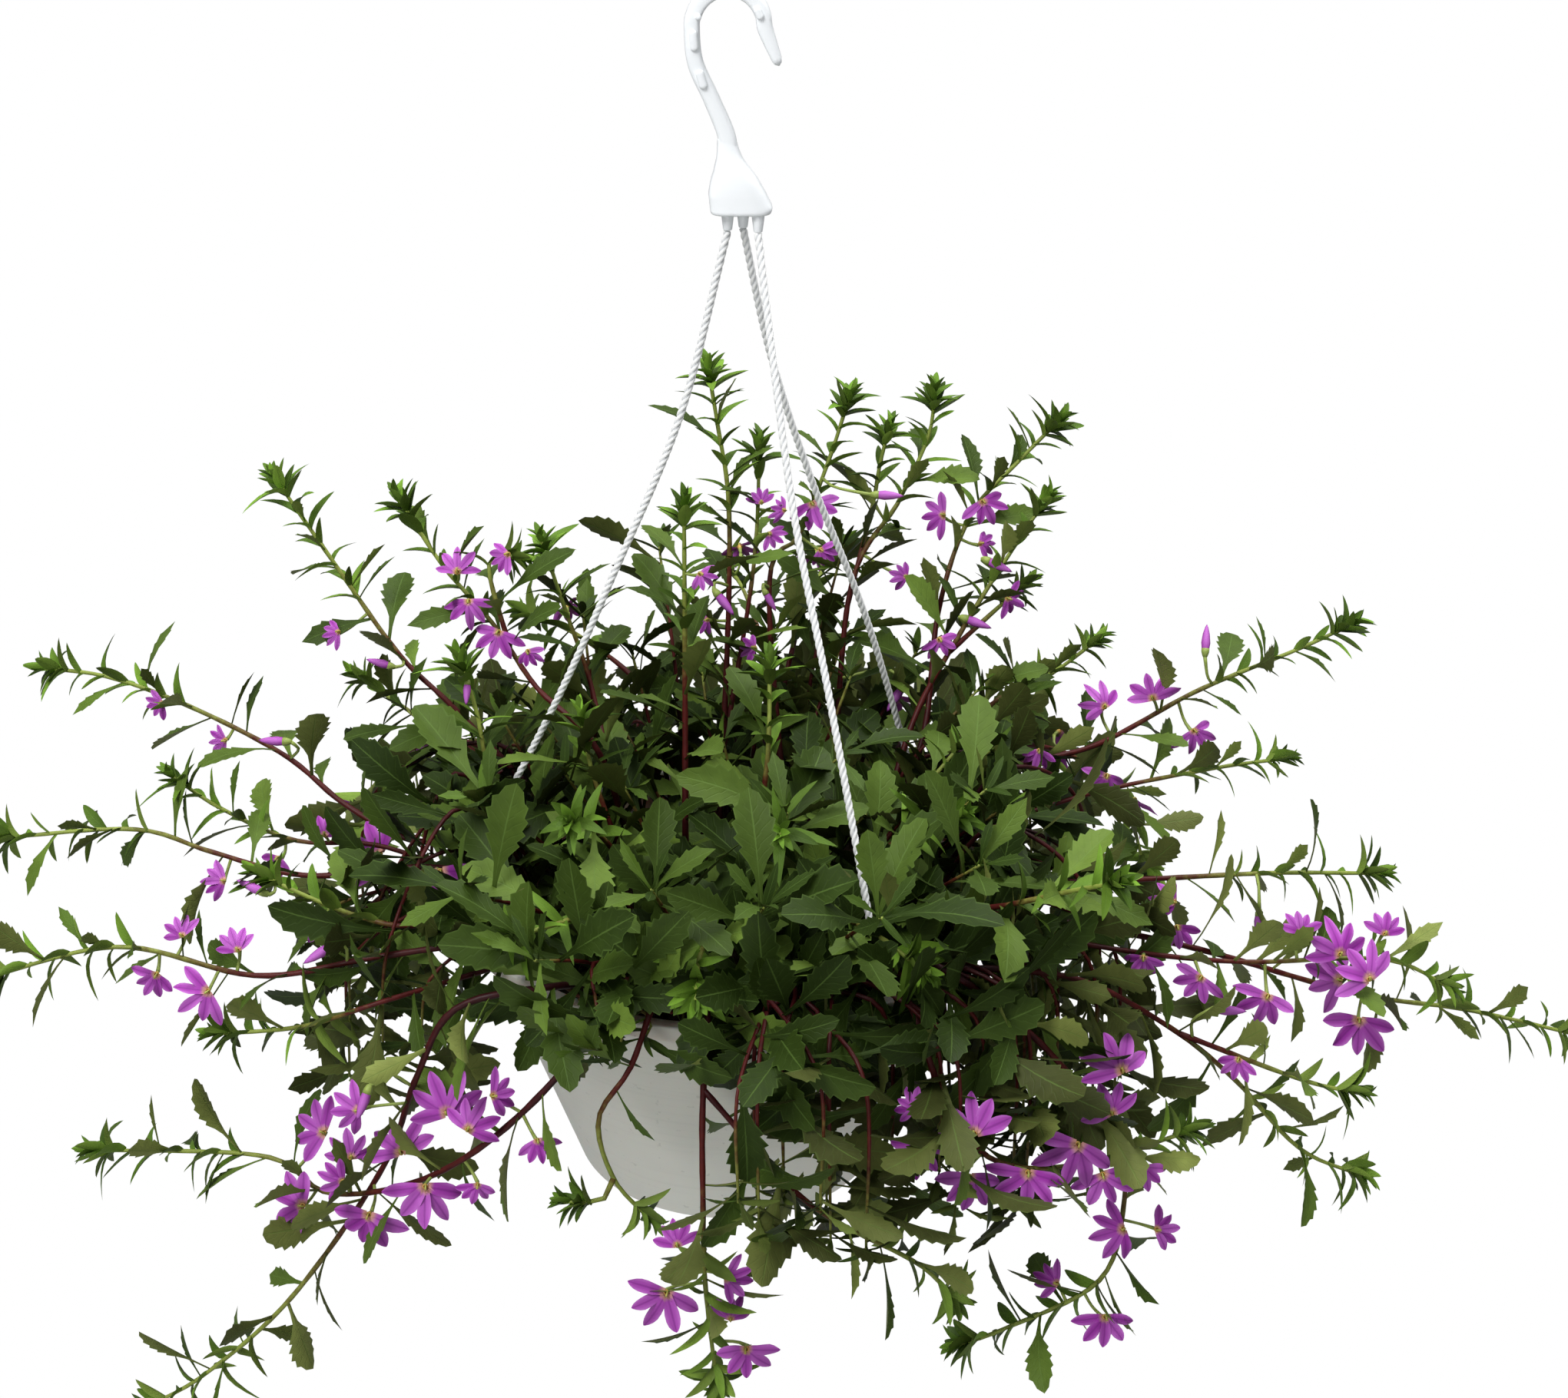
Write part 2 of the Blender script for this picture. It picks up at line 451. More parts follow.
def rounded(profile, radius, steps=4):
    """A profile whose inner corners are cut back by a radius and bridged by quadratic curves."""
    profile = np.asarray(profile, float)
    corner, before, after = profile[1:-1], profile[:-2], profile[2:]
    reach = np.minimum(radius, 0.45 * np.minimum(np.linalg.norm(before - corner, axis=1),
                                                 np.linalg.norm(after - corner, axis=1)))[:, None]
    start, end = corner + unit(before - corner) * reach, corner + unit(after - corner) * reach
    t = np.linspace(0, 1, steps + 1)[None, :, None]
    arcs = start[:, None] * (1 - t) ** 2 + corner[:, None] * 2 * t * (1 - t) + end[:, None] * t**2
    return np.vstack([profile[:1], arcs.reshape(-1, profile.shape[1]), profile[-1:]])


# ---- blades: leaves and petals ----------------------------------------------------------------------


class Blade:
    """The form of a closed leaf or petal. Rows are (s, h), shares of length and of half width, from base to tip,
    and columns are shares c of the half width across the upper face. Point (s, c) of that face is at (s, h c), and
    lifts keel (1 − |c|^1.5) k above the blade's middle, where k = smooth(4 (1 − s)) thins the tip. The lower face
    has one line down its middle, at lift −k."""

    def __init__(self, rows, columns, keel):
        s, half = np.array(rows[:-1], float).T
        columns = np.array(columns, float)
        wide, high = len(columns), len(s)
        top_s, top_w = np.repeat(s, wide), (half[:, None] * columns).ravel()
        ridge = np.tile(1 - np.abs(columns) ** 1.5, high) * keel * np.repeat(smooth((1 - s) * 4), wide)
        self.s = np.concatenate([top_s, s, [1.0]])
        self.w = np.concatenate([top_w, np.zeros(high + 1)])
        self.lift = np.concatenate([ridge, -smooth((1 - s) * 4), [0.0]])
        low, tip = high * wide, high * wide + high
        row, column = np.meshgrid(np.arange(high - 1), np.arange(wide - 1), indexing="ij")
        corner = (row * wide + column).ravel()
        top = np.stack([corner, corner + 1, corner + wide + 1, corner + wide], axis=-1)
        row = np.arange(high - 1)
        left, right = row * wide, row * wide + wide - 1
        under = np.concatenate([
            np.stack([left, left + wide, low + row + 1, low + row], axis=-1),
            np.stack([low + row, low + row + 1, right + wide, right], axis=-1)])
        last = (high - 1) * wide
        ends = [[last + c, last + c + 1, tip, -1] for c in range(wide - 1)]
        closing = [[last, tip, low + high - 1, -1], [low + high - 1, tip, last + wide - 1, -1]]
        base = [[0, low, wide - 1, -1]] + [[0, c + 1, c, -1] for c in range(1, wide - 1)]
        self.faces = np.concatenate([top, ends, under, closing, base])
        self.under = np.concatenate([np.zeros(len(top) + len(ends)), np.ones(len(under) + len(closing) + len(base))])
        across = np.concatenate([np.tile(columns, high), np.zeros(high + 1)])
        self.uv = np.stack([across * 0.5 + 0.5, self.s], axis=-1)
        edge = np.tile(np.abs(columns) == 1, high)
        self.sharp = np.concatenate([edge, np.zeros(high, bool), [True]])


TOOTHED = Blade(
    [(0, 0.11), (0.18, 0.12), (0.32, 0.2), (0.43, 0.44), (0.54, 0.82), (0.56, 0.64), (0.65, 1), (0.67, 0.8),
     (0.76, 1), (0.78, 0.78), (0.865, 0.84), (0.885, 0.6), (0.96, 0.42), (1, 0)], (-1, -0.5, 0, 0.5, 1), 1)
NOTCHED = Blade(
    [(0, 0.15), (0.2, 0.2), (0.37, 0.42), (0.54, 0.86), (0.56, 0.68), (0.69, 1), (0.71, 0.78), (0.83, 0.84),
     (0.85, 0.58), (1, 0)], (-1, -0.5, 0, 0.5, 1), 1)
NARROW = Blade([(0, 0.42), (0.1, 0.66), (0.25, 0.93), (0.42, 1), (0.6, 0.9), (0.78, 0.64), (0.92, 0.34), (1, 0)],
               (-1, 0, 1), 1)
PETAL = Blade([(0, 0.55), (0.12, 0.66), (0.3, 0.84), (0.5, 1), (0.67, 0.98), (0.8, 0.8), (0.9, 0.52),
               (0.965, 0.25), (1, 0)], (-1, -0.55, 0, 0.55, 1), 1)
KEYS = ("root", "out", "across", "normal", "length", "half", "thick", "curl", "fold", "twist", "wave", "phase",
        "tint", "young")


class Places:
    """Where blades stand and how each is bent: arrays of one row for every blade."""

    def __init__(self, **values):
        size = len(values["root"])
        for key in KEYS:
            value = np.asarray(values.get(key, 0.0), float)
            wanted = (size, 3) if key in KEYS[:4] else (size,)
            setattr(self, key, np.array(np.broadcast_to(value, wanted)))

    def __len__(self):
        return len(self.root)

    def only(self, chosen):
        return Places(**{key: getattr(self, key)[chosen] for key in KEYS})

    @staticmethod
    def joined(parts):
        parts = [part for part in parts if len(part)]
        return Places(**{key: np.concatenate([getattr(part, key) for part in parts]) for key in KEYS})

    def surface(self, s, w, lift):
        """Point (s, w) of each blade: root + out L s + across w h + normal (fold |w h| − curl L s² + lift t +
        wave h |w| sin(phase + 8 s)), where across and normal have turned about out by twist s."""
        size = [value[:, None] for value in (self.length, self.half, self.thick, self.curl, self.fold, self.twist,
                                             self.wave, self.phase)]
        length, half, thick, curl, fold, twist, wave, phase = size
        s, w, lift = s[None], w[None], lift[None]
        side = w * half
        rise = fold * np.abs(side) + lift * thick + wave * half * np.abs(w) * np.sin(phase + 8 * s)
        turn = twist * s
        sideways = side * np.cos(turn) - rise * np.sin(turn)
        upwards = side * np.sin(turn) + rise * np.cos(turn) - curl * length * s**2
        return (self.root[:, None] + self.out[:, None] * (length * s)[..., None]
                + self.across[:, None] * sideways[..., None] + self.normal[:, None] * upwards[..., None])


def stamp(surface, blade, places, look=0):
    """Adds a blade at every place to a surface."""
    if not len(places):
        return
    size, count = len(blade.s), len(places)
    points = places.surface(blade.s, blade.w, blade.lift).reshape(-1, 3)
    step = (np.arange(count) * size)[:, None, None]
    faces = np.where(blade.faces < 0, -1, blade.faces[None] + step).reshape(-1, 4)
    surface.add(points, faces, np.tile(blade.uv, (count, 1)), np.tile(blade.sharp, count),
                np.tile(blade.under, count), look, tint=np.repeat(places.tint, size),
                young=np.repeat(places.young, size))


NARROWED = 0.84  # the fine leaf's width as a share of the CAD leaf's


def leaf_half(length):
    """Half the width of a leaf of a length, as in the part's source."""
    return length * mix(0.24, 0.44, np.clip((length - 16) / 26, 0, 1)) / 2


def leaf_places(route, share, length, spin, pitch, lean, turn=0.0, tilt=0.0, roll=0.0, **more):
    """Leaves at shares of a stem. Each leaves the stem at its pitch, on the side that its spin gives, and leans
    upwards; its face turns towards the stem's tip and up, and then rolls about its own length."""
    heading = route.heading(share)
    up, side = around(heading)
    angle, opening = (spin + turn)[:, None], (pitch + tilt)[:, None]
    spoke = up * np.cos(angle) + side * np.sin(angle)
    out = unit(heading * np.cos(opening) + spoke * np.sin(opening) + Z * np.asarray(lean)[:, None])
    normal = heading * np.sin(opening) - spoke * np.cos(opening) + Z * LEAF["face_up"]
    normal = unit(normal - out * np.sum(normal * out, axis=1)[:, None])
    roll = np.broadcast_to(roll, len(out))[:, None]
    normal = normal * np.cos(roll) + np.cross(out, normal) * np.sin(roll)
    bend = {key: LEAF[key] for key in ("thick", "curl", "fold")}
    return Places(root=route.at(share), out=out, across=np.cross(out, normal), normal=normal, length=length,
                  **{"half": leaf_half(length) * NARROWED, **bend, **more})


# ---- the plant --------------------------------------------------------------------------------------

LEAF_TRIES = [(0, 0), (28, 0), (-28, 0), (14, 18), (-14, -18), (56, 6), (-56, 6), (84, 0), (-84, 0), (150, 0)]
BLOOM_TRIES = [(0, 0, 0), (0, -5, 0), (0, 0, 5), (5, -4, 0), (-5, -4, 0), (0, -9, 3), (0, -4, -6), (8, -8, 4),
               (-8, -8, 4), (0, -14, 0), (12, -6, 6), (-12, -6, 6), (0, 6, 8), (0, 8, -8)]
GROWN = {"scale": (0.86, 1.08), "spin": 0.8, "pitch": (0.8, 1.25), "lean": (0.05, 0.45)}  # of a CAD leaf
FOUND = 0.06  # mm: a try is the one that was built where its tip is this near a point of the CAD solid


class Shoot:
    """One stalk of a stem: its line, thickness at its foot, the share of the stem's age there and its leaves."""

    def __init__(self, points, thick, scale, first, age):
        self.route, self.thick, self.scale, self.first, self.age = Route(points), thick, scale, first, age
        count = math.floor((self.route.length - LEAF["tail_clear"] - first) / LEAF["every"]) + 1
        self.shares = (first + np.arange(max(0, count)) * LEAF["every"]) / self.route.length


def shoots_of(stem):
    """A stem's main line, upright where it stands in the soil, and the shoots that fork off it."""
    x, y = stem["root"]
    foot = [(x, y, SOIL["top"] + lift) for lift in (-STALK["root_depth"], *STALK["rises"])]
    main = Shoot(from_rim(foot + stem["run"]), STALK["base"], 1, STALK["root_depth"] + STALK["first_leaf"], 0)
    forks = [Shoot(np.vstack([main.route.at(at), from_rim(run)]), STALK["base"] * FORK["thick"], FORK["scale"],
                   STALK["first_leaf"], FORK["age"] * at) for at, run in stem["forks"]]
    return [main, *forks]


@functools.cache
def cad_points(node):
    """The corners of a CAD node's mesh, in millimetres."""
    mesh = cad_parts[node].data
    points = np.empty(3 * len(mesh.vertices), np.float32)
    mesh.vertices.foreach_get("co", points)
    return points.reshape(-1, 3).astype(float) / MM


def is_built(points, node):
    """Whether each point is a corner of a CAD node."""
    apart = np.linalg.norm(points[:, None] - cad_points(node)[None], axis=2)
    return apart.min(axis=1) < FOUND


class Bloom:
    """A fan of petals or a bud: where it is, which way it faces and opens, and its width. It faces along
    (lean, ∓0.85, rise), towards the viewer or, on a rear stem, away, with a lean within a quarter and a rise of
    0.25 to 0.65 that its two draws set."""

    def __init__(self, row, rear, shift, draws):
        x, y, z, self.size, degrees = row
        sign = -1 if rear else 1
        self.centre = from_rim((x + shift[0], y + sign * shift[1], z + shift[2]))
        lean = 0.5 * (draws[0] - 0.5) + (x * 0.004 if rear else 0)
        self.normal = unit(np.array([lean, -0.85 * sign, 0.25 + 0.4 * draws[1]]))
        down = unit(self.normal * self.normal[2] - Z)
        angle = math.radians(degrees)
        self.fan = np.cross(self.normal, down) * math.cos(angle) + down * math.sin(angle)
        self.is_bud = self.size <= LARGEST_BUD

    def mark(self):
        """The point of its CAD solid that tells where it was built: a bud's tip, or the middle of a fan."""
        if self.is_bud:
            return self.centre + self.fan * 0.9 * self.size
        return self.centre + self.fan * 0.06 * self.size + self.normal * BLOOM["front"]


@functools.cache
def plants():
    """Every stem with its shoots, its blooms and its CAD leaves, each where the part's source built it."""
    grown, own = [], 0
    for order, stem in enumerate(STEMS):
        draw, shoots, blooms = seeded(1000 + 17 * order), shoots_of(stem), []
        for row in stem["blooms"]:
            draws = (draw(), draw())
            tries = [Bloom(row, stem["rear"], shift, draws) for shift in BLOOM_TRIES]
            node = f"bloom_{own + 1:02d}" if row[3] >= OWN_BLOOM_SIZE else stem["name"]
            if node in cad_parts:
                found = is_built(np.array([bloom.mark() for bloom in tries]), node)
                if found.any():
                    bloom = tries[int(np.argmax(found))]
                    bloom.node = node
                    blooms.append(bloom)
                    own += row[3] >= OWN_BLOOM_SIZE
        leaves = []
        for number, shoot in enumerate(shoots):
            draws = np.array([[draw() for _ in range(4)] for _ in shoot.shares]).reshape(-1, 4)
            if not len(draws):
                continue
            share = mix(FORK["leaves_from"], 1, shoot.shares) if number else shoot.shares
            length = mix(*stem["leaves"], share) * mix(*GROWN["scale"], draws[:, 0])
            spin = (number + np.arange(len(draws))) * GOLDEN_ANGLE * 2 + draws[:, 1] * GROWN["spin"]
            pitch, lean = mix(*GROWN["pitch"], draws[:, 2]), mix(*GROWN["lean"], draws[:, 3])
            free = np.ones(len(draws), bool)
            for turn, tilt in LEAF_TRIES:
                places = leaf_places(shoot.route, shoot.shares, length, spin, pitch, lean, math.radians(turn),
                                     math.radians(tilt))
                tips = places.surface(np.array([1.0]), np.zeros(1), np.zeros(1))[:, 0]
                hit = free & is_built(tips, stem["name"])
                free &= ~hit
                leaves.append(places.only(hit))
        grown.append({"name": stem["name"], "sizes": stem["leaves"], "shoots": shoots, "blooms": blooms,
                      "leaves": leaves, "order": order})
    return grown


# ---- room for what the scene adds -------------------------------------------------------------------

CORD_ROOM = 4.0  # mm kept clear round a cord's middle line
BOX_ROOM = 6.0  # mm by which added leaves may pass the CAD box
POT_ROOM = {"lip": 2, "outside": 2.5, "inside": 5, "over": 2, "under": 3}  # mm kept clear round the pot and soil
EYE = np.array([0, -1100, 217.0])  # where the photograph was taken from
TO_EYE = np.array([0, -0.9, 0.44])
BARE = {"plane": -115.0, "middle": (-36, -68), "reach": (34, 38)}  # the part of the pot's front that it shows


def cord_line(name):
    """A cord's route from the end of its sleeve to the stub of its clip."""
    route = CORD_ROUTES[name]
    angle, ring = math.radians(route["azimuth"]), (POT["wall_top"] - POT["wall"] + POT["rim"]) / 2
    start = (*route["exit"], HOOK_BASE["bottom"] - SLEEVE["length"] - CORD["clear"])
    end = (ring * math.cos(angle), ring * math.sin(angle), RIM_Z + CLIP["gap"] + CLIP["crown"] + 4 + CORD["clear"])
    return Route([start, *route["bow"], end])


@functools.cache
def cord_dots():
    """Points every few millimetres along all three cords, and up to 49 mm towards the eye from what it sees of
    them."""
    lines = {name: cord_line(name) for name in CORD_ROUTES}
    dots = [line.at(np.linspace(0, 1, 110)) for line in lines.values()]
    for name, line in lines.items():
        seen = line.at(np.linspace(0, CORD_ROUTES[name]["seen"], 95))
        dots += [seen + TO_EYE * ahead for ahead in range(7, 50, 7)]
    return np.vstack(dots)


def is_blocked(points):
    """Whether any point of each row of points is in the pot's wall or the soil, by a cord, out of the box, or in
    front of the part of the pot that the photograph shows bare."""
    height, across = points[..., 2] - RIM_Z, np.linalg.norm(points[..., :2], axis=-1)
    share = np.clip((height + POT["height"]) / POT["height"], 0, 1)
    wall = mix(POT["foot"], POT["wall_top"], share)
    outside = np.where(height > -POT["lip"] - POT_ROOM["lip"], POT["rim"] + POT_ROOM["lip"],
                       wall + POT_ROOM["outside"])
    in_pot = (height < POT_ROOM["over"]) & (height > -POT["height"] - POT_ROOM["under"]) & (across < outside)
    in_room = (across < wall - POT_ROOM["inside"]) & (height > SOIL["top"] + POT_ROOM["over"])
    ray = EYE + (points - EYE) * ((BARE["plane"] - EYE[1]) / (points[..., 1:2] - EYE[1]))
    off = [(ray[..., 0] - BARE["middle"][0]) / BARE["reach"][0],
           (ray[..., 2] - RIM_Z - BARE["middle"][1]) / BARE["reach"][1]]
    in_view = (np.hypot(*off) < 1) & (points[..., 1] < -60)
    near_cord = (np.linalg.norm(points[..., None, :] - cord_dots(), axis=-1) < CORD_ROOM).any(axis=-1)
    low, high = (np.array(corner) / MM for corner in CAD_BOX)
    out = ((points < low - BOX_ROOM) | (points > high + BOX_ROOM)).any(axis=-1)
    return ((in_pot & ~in_room) | near_cord | out | in_view).any(axis=1)


def with_room(places):
    """The places whose blades touch nothing that they shouldn't, tried on twelve points of each."""
    s = np.repeat([0.25, 0.5, 0.75, 1.0], 3)
    return places.only(~is_blocked(places.surface(s, np.tile([-0.8, 0.0, 0.8], 4), np.zeros(12))))


# ---- leaves that the scene adds ---------------------------------------------------------------------

# Lengths are in millimetres and angles in radians. A pair is a range, or the value at the first and at the last
# of a row, and what is called life is drawn by lively.
MORE = {"apart": 0.85, "apart_in_crown": 1.3, "start": 4, "bare_tip": 28, "clear": 5, "largest": 50, "smallest": 33,
        "scatter": (0.7, 1.3), "thins": 0.4, "size": (0.7, 1.12), "pitch": (0.75, 1.35), "lean": (-0.15, 0.45),
        "life": {"curl": (0, 0.42), "fold": (0.1, 0.45), "wave": (0.02, 0.1), "tint": (0.45, 1), "roll": 0.45}}
BRACT = {"share": 0.36, "most": 78, "first": 10, "every": 10.5, "scatter": 1.5, "length": (13, 22),
         "half": (0.11, 0.18), "pitch": (0.5, 0.95), "lean": (0, 0.35), "thick": 0.3, "curl": (0.15, 1.0),
         "fold": 0.4, "twist": 0.5, "tint": (0.42, 1), "young": (0.3, 0.75)}
TUFT = {"count": 15, "length": (18, 9), "size": (0.85, 1.1), "back": (13, 0.5), "pitch": (1.0, 0.16),
        "half": (0.17, 0.21), "thick": 0.45, "curl": (-0.1, 0.6), "fold": 0.5, "tint": (0.35, 1),
        "young": (0.35, 0.85)}
SPROUT = {"ring": 104, "foot": 6, "start": 14, "height": (38, 78), "raised_behind": 0.45, "reach": (26, 58),
          "lean": (0.35, 1.25), "scatter": 9}
TRAILER = {"foot": 94, "edge": 98, "over": 128, "reach": (142, 186), "drop": (10, 95), "front_drop": (45, 92),
           "rise": (8, 26), "side_rise": (0, 50), "more_in_front": 6, "front": (-1.45, -0.6), "root": 6, "hang": 8,
           "in_front_from": 0.15, "left_drop": 0.45, "bare_from": 0.75, "bare": (-0.65, 0.03), "bare_drop": 0.1,
           "bare_reach": 0.82}
# A crown leaf's tint is its light times its shade, which is given at the soil and at the shoot's tip. The last
# leaves of a shoot are (mm from its tip, scale).
CROWN_LEAF = {"first": 20, "every": 12.0, "front": (42, 60), "rear": (30, 46), "rim": (34, 54),
              "lean": (0.1, 0.9), "rim_lean": (-0.1, 0.4), "light": 0.88, "rim_light": 0.75, "shade": (0.05, 1.0),
              "pitch": (0.75, 1.4), "last": ((5.0, 0.7), (3.0, 0.6), (2.0, 0.5), (1.0, 0.42), (0.5, 0.36)),
              "life": {"curl": (0.02, 0.4), "fold": (0.1, 0.4), "wave": (0.03, 0.1), "tint": (0.1, 1), "roll": 0.55}}
SEEDS = {"sprouts": 77, "trailers": 78, "leaves": 500, "flowers": 700, "crown": 900}


def settings(name):
    return getattr(bpy.context.scene, name)


def lively(dice, count, curl, fold, wave, tint, roll):
    """Chance for leaves that the scene adds: evenly spread curl, fold, wave and tint, and a normal twist and roll."""
    return {"curl": dice.uniform(*curl, count), "fold": dice.uniform(*fold, count),
            "twist": dice.normal(0, 0.3, count), "wave": dice.uniform(*wave, count),
            "phase": dice.uniform(0, 6.28, count), "tint": dice.uniform(*tint, count),
            "roll": dice.normal(0, roll, count)}


def varied(places, dice):
    """Leaves of the CAD model with a little life of their own: each keeps its line, and its margins wave."""
    count = len(places)
    places.wave, places.phase = dice.uniform(0.02, 0.09, count), dice.uniform(0, 6.28, count)
    places.tint = dice.uniform(0.4, 1, count)
    places.young = np.clip(0.5 - places.length / 70, 0, 1)
    return places


def extra_leaves(plant, dice):
    """Between a shoot's CAD leaves, more of them, each a golden angle on from the last, and smaller and further
    apart towards its tip."""
    plan, parts = settings("basket_leaves"), []
    thinned = MORE["apart_in_crown"] if "crown" in plant["name"] else MORE["apart"]
    for number, shoot in enumerate(plant["shoots"]):
        length = shoot.route.length
        marks, place = [], shoot.first - MORE["start"]
        while place < length - MORE["bare_tip"]:
            marks.append(place)
            wider = 1 + MORE["thins"] * place / length
            place += plan.spacing / MM * thinned * dice.uniform(*MORE["scatter"]) * wider
        marks = np.array(marks)
        if not len(marks):
            continue
        apart = np.abs(marks[:, None] - shoot.shares[None] * length).min(axis=1) if len(shoot.shares) else marks
        marks = marks[apart > MORE["clear"]]
        count = len(marks)
        share = marks / length
        age = mix(FORK["leaves_from"], 1, share) if number else share
        size = mix(min(MORE["largest"], plant["sizes"][0]), max(MORE["smallest"], plant["sizes"][1]), age**1.3)
        size = size * dice.uniform(*MORE["size"], count)
        parts.append(with_room(leaf_places(
            shoot.route, share, size, np.arange(count) * GOLDEN_ANGLE + dice.uniform(0, 1, count),
            dice.uniform(*MORE["pitch"], count), dice.uniform(*MORE["lean"], count),
            **lively(dice, count, **MORE["life"]), young=np.clip(0.55 - size / 62, 0, 1))))
    return parts


def bracts(plant, dice):
    """Narrow leaves, bent like sickles, in pairs over the last part of every shoot, and the tuft that ends it:
    a rosette whose inner leaves are shorter and stand closer to the line of the shoot."""
    parts = []
    for shoot in plant["shoots"]:
        length = shoot.route.length
        reach = min(BRACT["share"] * length, BRACT["most"])
        marks = length - np.arange(BRACT["first"], reach, BRACT["every"])
        marks = np.repeat(marks, 2) + dice.normal(0, BRACT["scatter"], 2 * len(marks))
        count = len(marks)
        size = dice.uniform(*BRACT["length"], count) * (0.7 + 0.3 * shoot.scale)
        turn = np.repeat(np.arange(count // 2) * 1.57 + dice.uniform(0, 1.5), 2) + np.tile([0, np.pi], count // 2)
        share = np.clip(marks / length, 0.02, 0.995)
        parts.append(with_room(leaf_places(
            shoot.route, share, size, turn + dice.normal(0, 0.3, count), dice.uniform(*BRACT["pitch"], count),
            dice.uniform(*BRACT["lean"], count), half=size * dice.uniform(*BRACT["half"], count),
            thick=BRACT["thick"], curl=dice.uniform(*BRACT["curl"], count), fold=BRACT["fold"],
            twist=dice.normal(0, BRACT["twist"], count), tint=dice.uniform(*BRACT["tint"], count),
            young=mix(*BRACT["young"], 1 - (length - marks) / reach))))
        count = TUFT["count"]
        order = np.arange(count) / (count - 1)
        size = mix(*TUFT["length"], order) * shoot.scale * dice.uniform(*TUFT["size"], count)
        parts.append(leaf_places(
            shoot.route, 1 - mix(*TUFT["back"], order) / length, size, np.arange(count) * GOLDEN_ANGLE,
            mix(*TUFT["pitch"], order) + dice.normal(0, 0.1, count), np.zeros(count),
            half=size * mix(*TUFT["half"], order), thick=TUFT["thick"], curl=dice.uniform(*TUFT["curl"], count),
            fold=TUFT["fold"], tint=dice.uniform(*TUFT["tint"], count), young=mix(*TUFT["young"], order)))
    return parts


@functools.cache
def sprouts():
    """Short leafy shoots that fill the crown. They stand on a sunflower spiral in the soil and lean outwards, and
    those at the back stand higher."""
    plan, dice, made = settings("basket_leaves"), np.random.default_rng(SEEDS["sprouts"]), []
    for k in range(plan.sprouts):
        radius = SPROUT["ring"] * math.sqrt((k + 0.5) / plan.sprouts)
        way = level(k * GOLDEN_ANGLE + 0.4)
        foot = radius * way
        lean = mix(*SPROUT["lean"], radius / SPROUT["ring"])
        height = dice.uniform(*SPROUT["height"]) + max(0, foot[1]) * SPROUT["raised_behind"]
        reach = dice.uniform(*SPROUT["reach"]) * lean
        over = way * reach + dice.normal(0, SPROUT["scatter"], 2)
        made.append(Route(from_rim([
            (*foot, SOIL["top"] - SPROUT["foot"]), (*(foot + over * 0.06), SOIL["top"] + SPROUT["start"]),
            (*(foot + over * 0.35), SOIL["top"] + SPROUT["start"] + height * 0.55), (*(foot + over), height)])))
    return made


@functools.cache
def trailers():
    """Short leafy shoots that leave the soil near its edge, arch over the rim and hang, the more so to the right
    of the front. Those in the middle of the front stay short, so that the pot is in view there."""
    plan, dice, made = settings("basket_leaves"), np.random.default_rng(SEEDS["trailers"]), []
    for k in range(plan.trailers):
        angle = k * GOLDEN_ANGLE if k % TRAILER["more_in_front"] else dice.uniform(*TRAILER["front"])
        sideways, ahead = math.cos(angle), -math.sin(angle)
        drop = dice.uniform(*TRAILER["drop"])
        if ahead > TRAILER["in_front_from"]:
            drop = mix(drop * TRAILER["left_drop"], dice.uniform(*TRAILER["front_drop"]),
                       smooth((sideways + 0.1) / 0.4))
        reach = dice.uniform(*TRAILER["reach"])
        if ahead > TRAILER["bare_from"] and TRAILER["bare"][0] < sideways < TRAILER["bare"][1]:
            drop, reach = drop * TRAILER["bare_drop"], reach * TRAILER["bare_reach"]
        way, bent = level(angle), level(angle + dice.normal(0, 0.12))
        rise = dice.uniform(*TRAILER["rise"]) + dice.uniform(*TRAILER["side_rise"]) * smooth(1.5 - 2 * abs(ahead))
        made.append(Route(from_rim([
            (*(way * TRAILER["foot"]), SOIL["top"] - TRAILER["root"]), (*(way * TRAILER["edge"]), 2),
            (*(way * TRAILER["over"]), rise), (*(bent * reach), rise * 0.4),
            (*(bent * (reach + TRAILER["hang"])), -drop)])))
    return made


def sprout_leaves(dice):
    """The large leaves of the crown's sprouts and of the trailers, a golden angle apart up every shoot, and small
    ones close together at its end. They are darker near the soil."""
    parts, front, rear = [], np.array(CROWN_LEAF["front"]), np.array(CROWN_LEAF["rear"])
    crown = [(route, *mix(front, rear, smooth(route.at(1)[1] / 130 + 0.45)), CROWN_LEAF["lean"], CROWN_LEAF["light"])
             for route in sprouts()]
    rim = [(route, *CROWN_LEAF["rim"], CROWN_LEAF["rim_lean"], CROWN_LEAF["rim_light"]) for route in trailers()]
    ends, shrunk = np.array(CROWN_LEAF["last"]).T
    for route, low, high, lean, light in crown + rim:
        marks = np.arange(CROWN_LEAF["first"], route.length - 1, CROWN_LEAF["every"])
        marks = np.append(marks, route.length - ends)
        count = len(marks)
        size = dice.uniform(low, high, count)
        size[-len(shrunk):] *= shrunk
        spin = np.arange(count) * GOLDEN_ANGLE + dice.uniform(0, 6)
        pitch, lean = dice.uniform(*CROWN_LEAF["pitch"], count), dice.uniform(*lean, count)
        life = lively(dice, count, **CROWN_LEAF["life"])
        life["tint"] = light * life["tint"] * mix(*CROWN_LEAF["shade"], marks / route.length)
        parts.append(with_room(leaf_places(route, marks / route.length, size, spin, pitch, lean, **life,
                                           young=np.clip(0.45 - size / 80, 0, 1))))
    return parts


# ---- shader nodes -----------------------------------------------------------------------------------


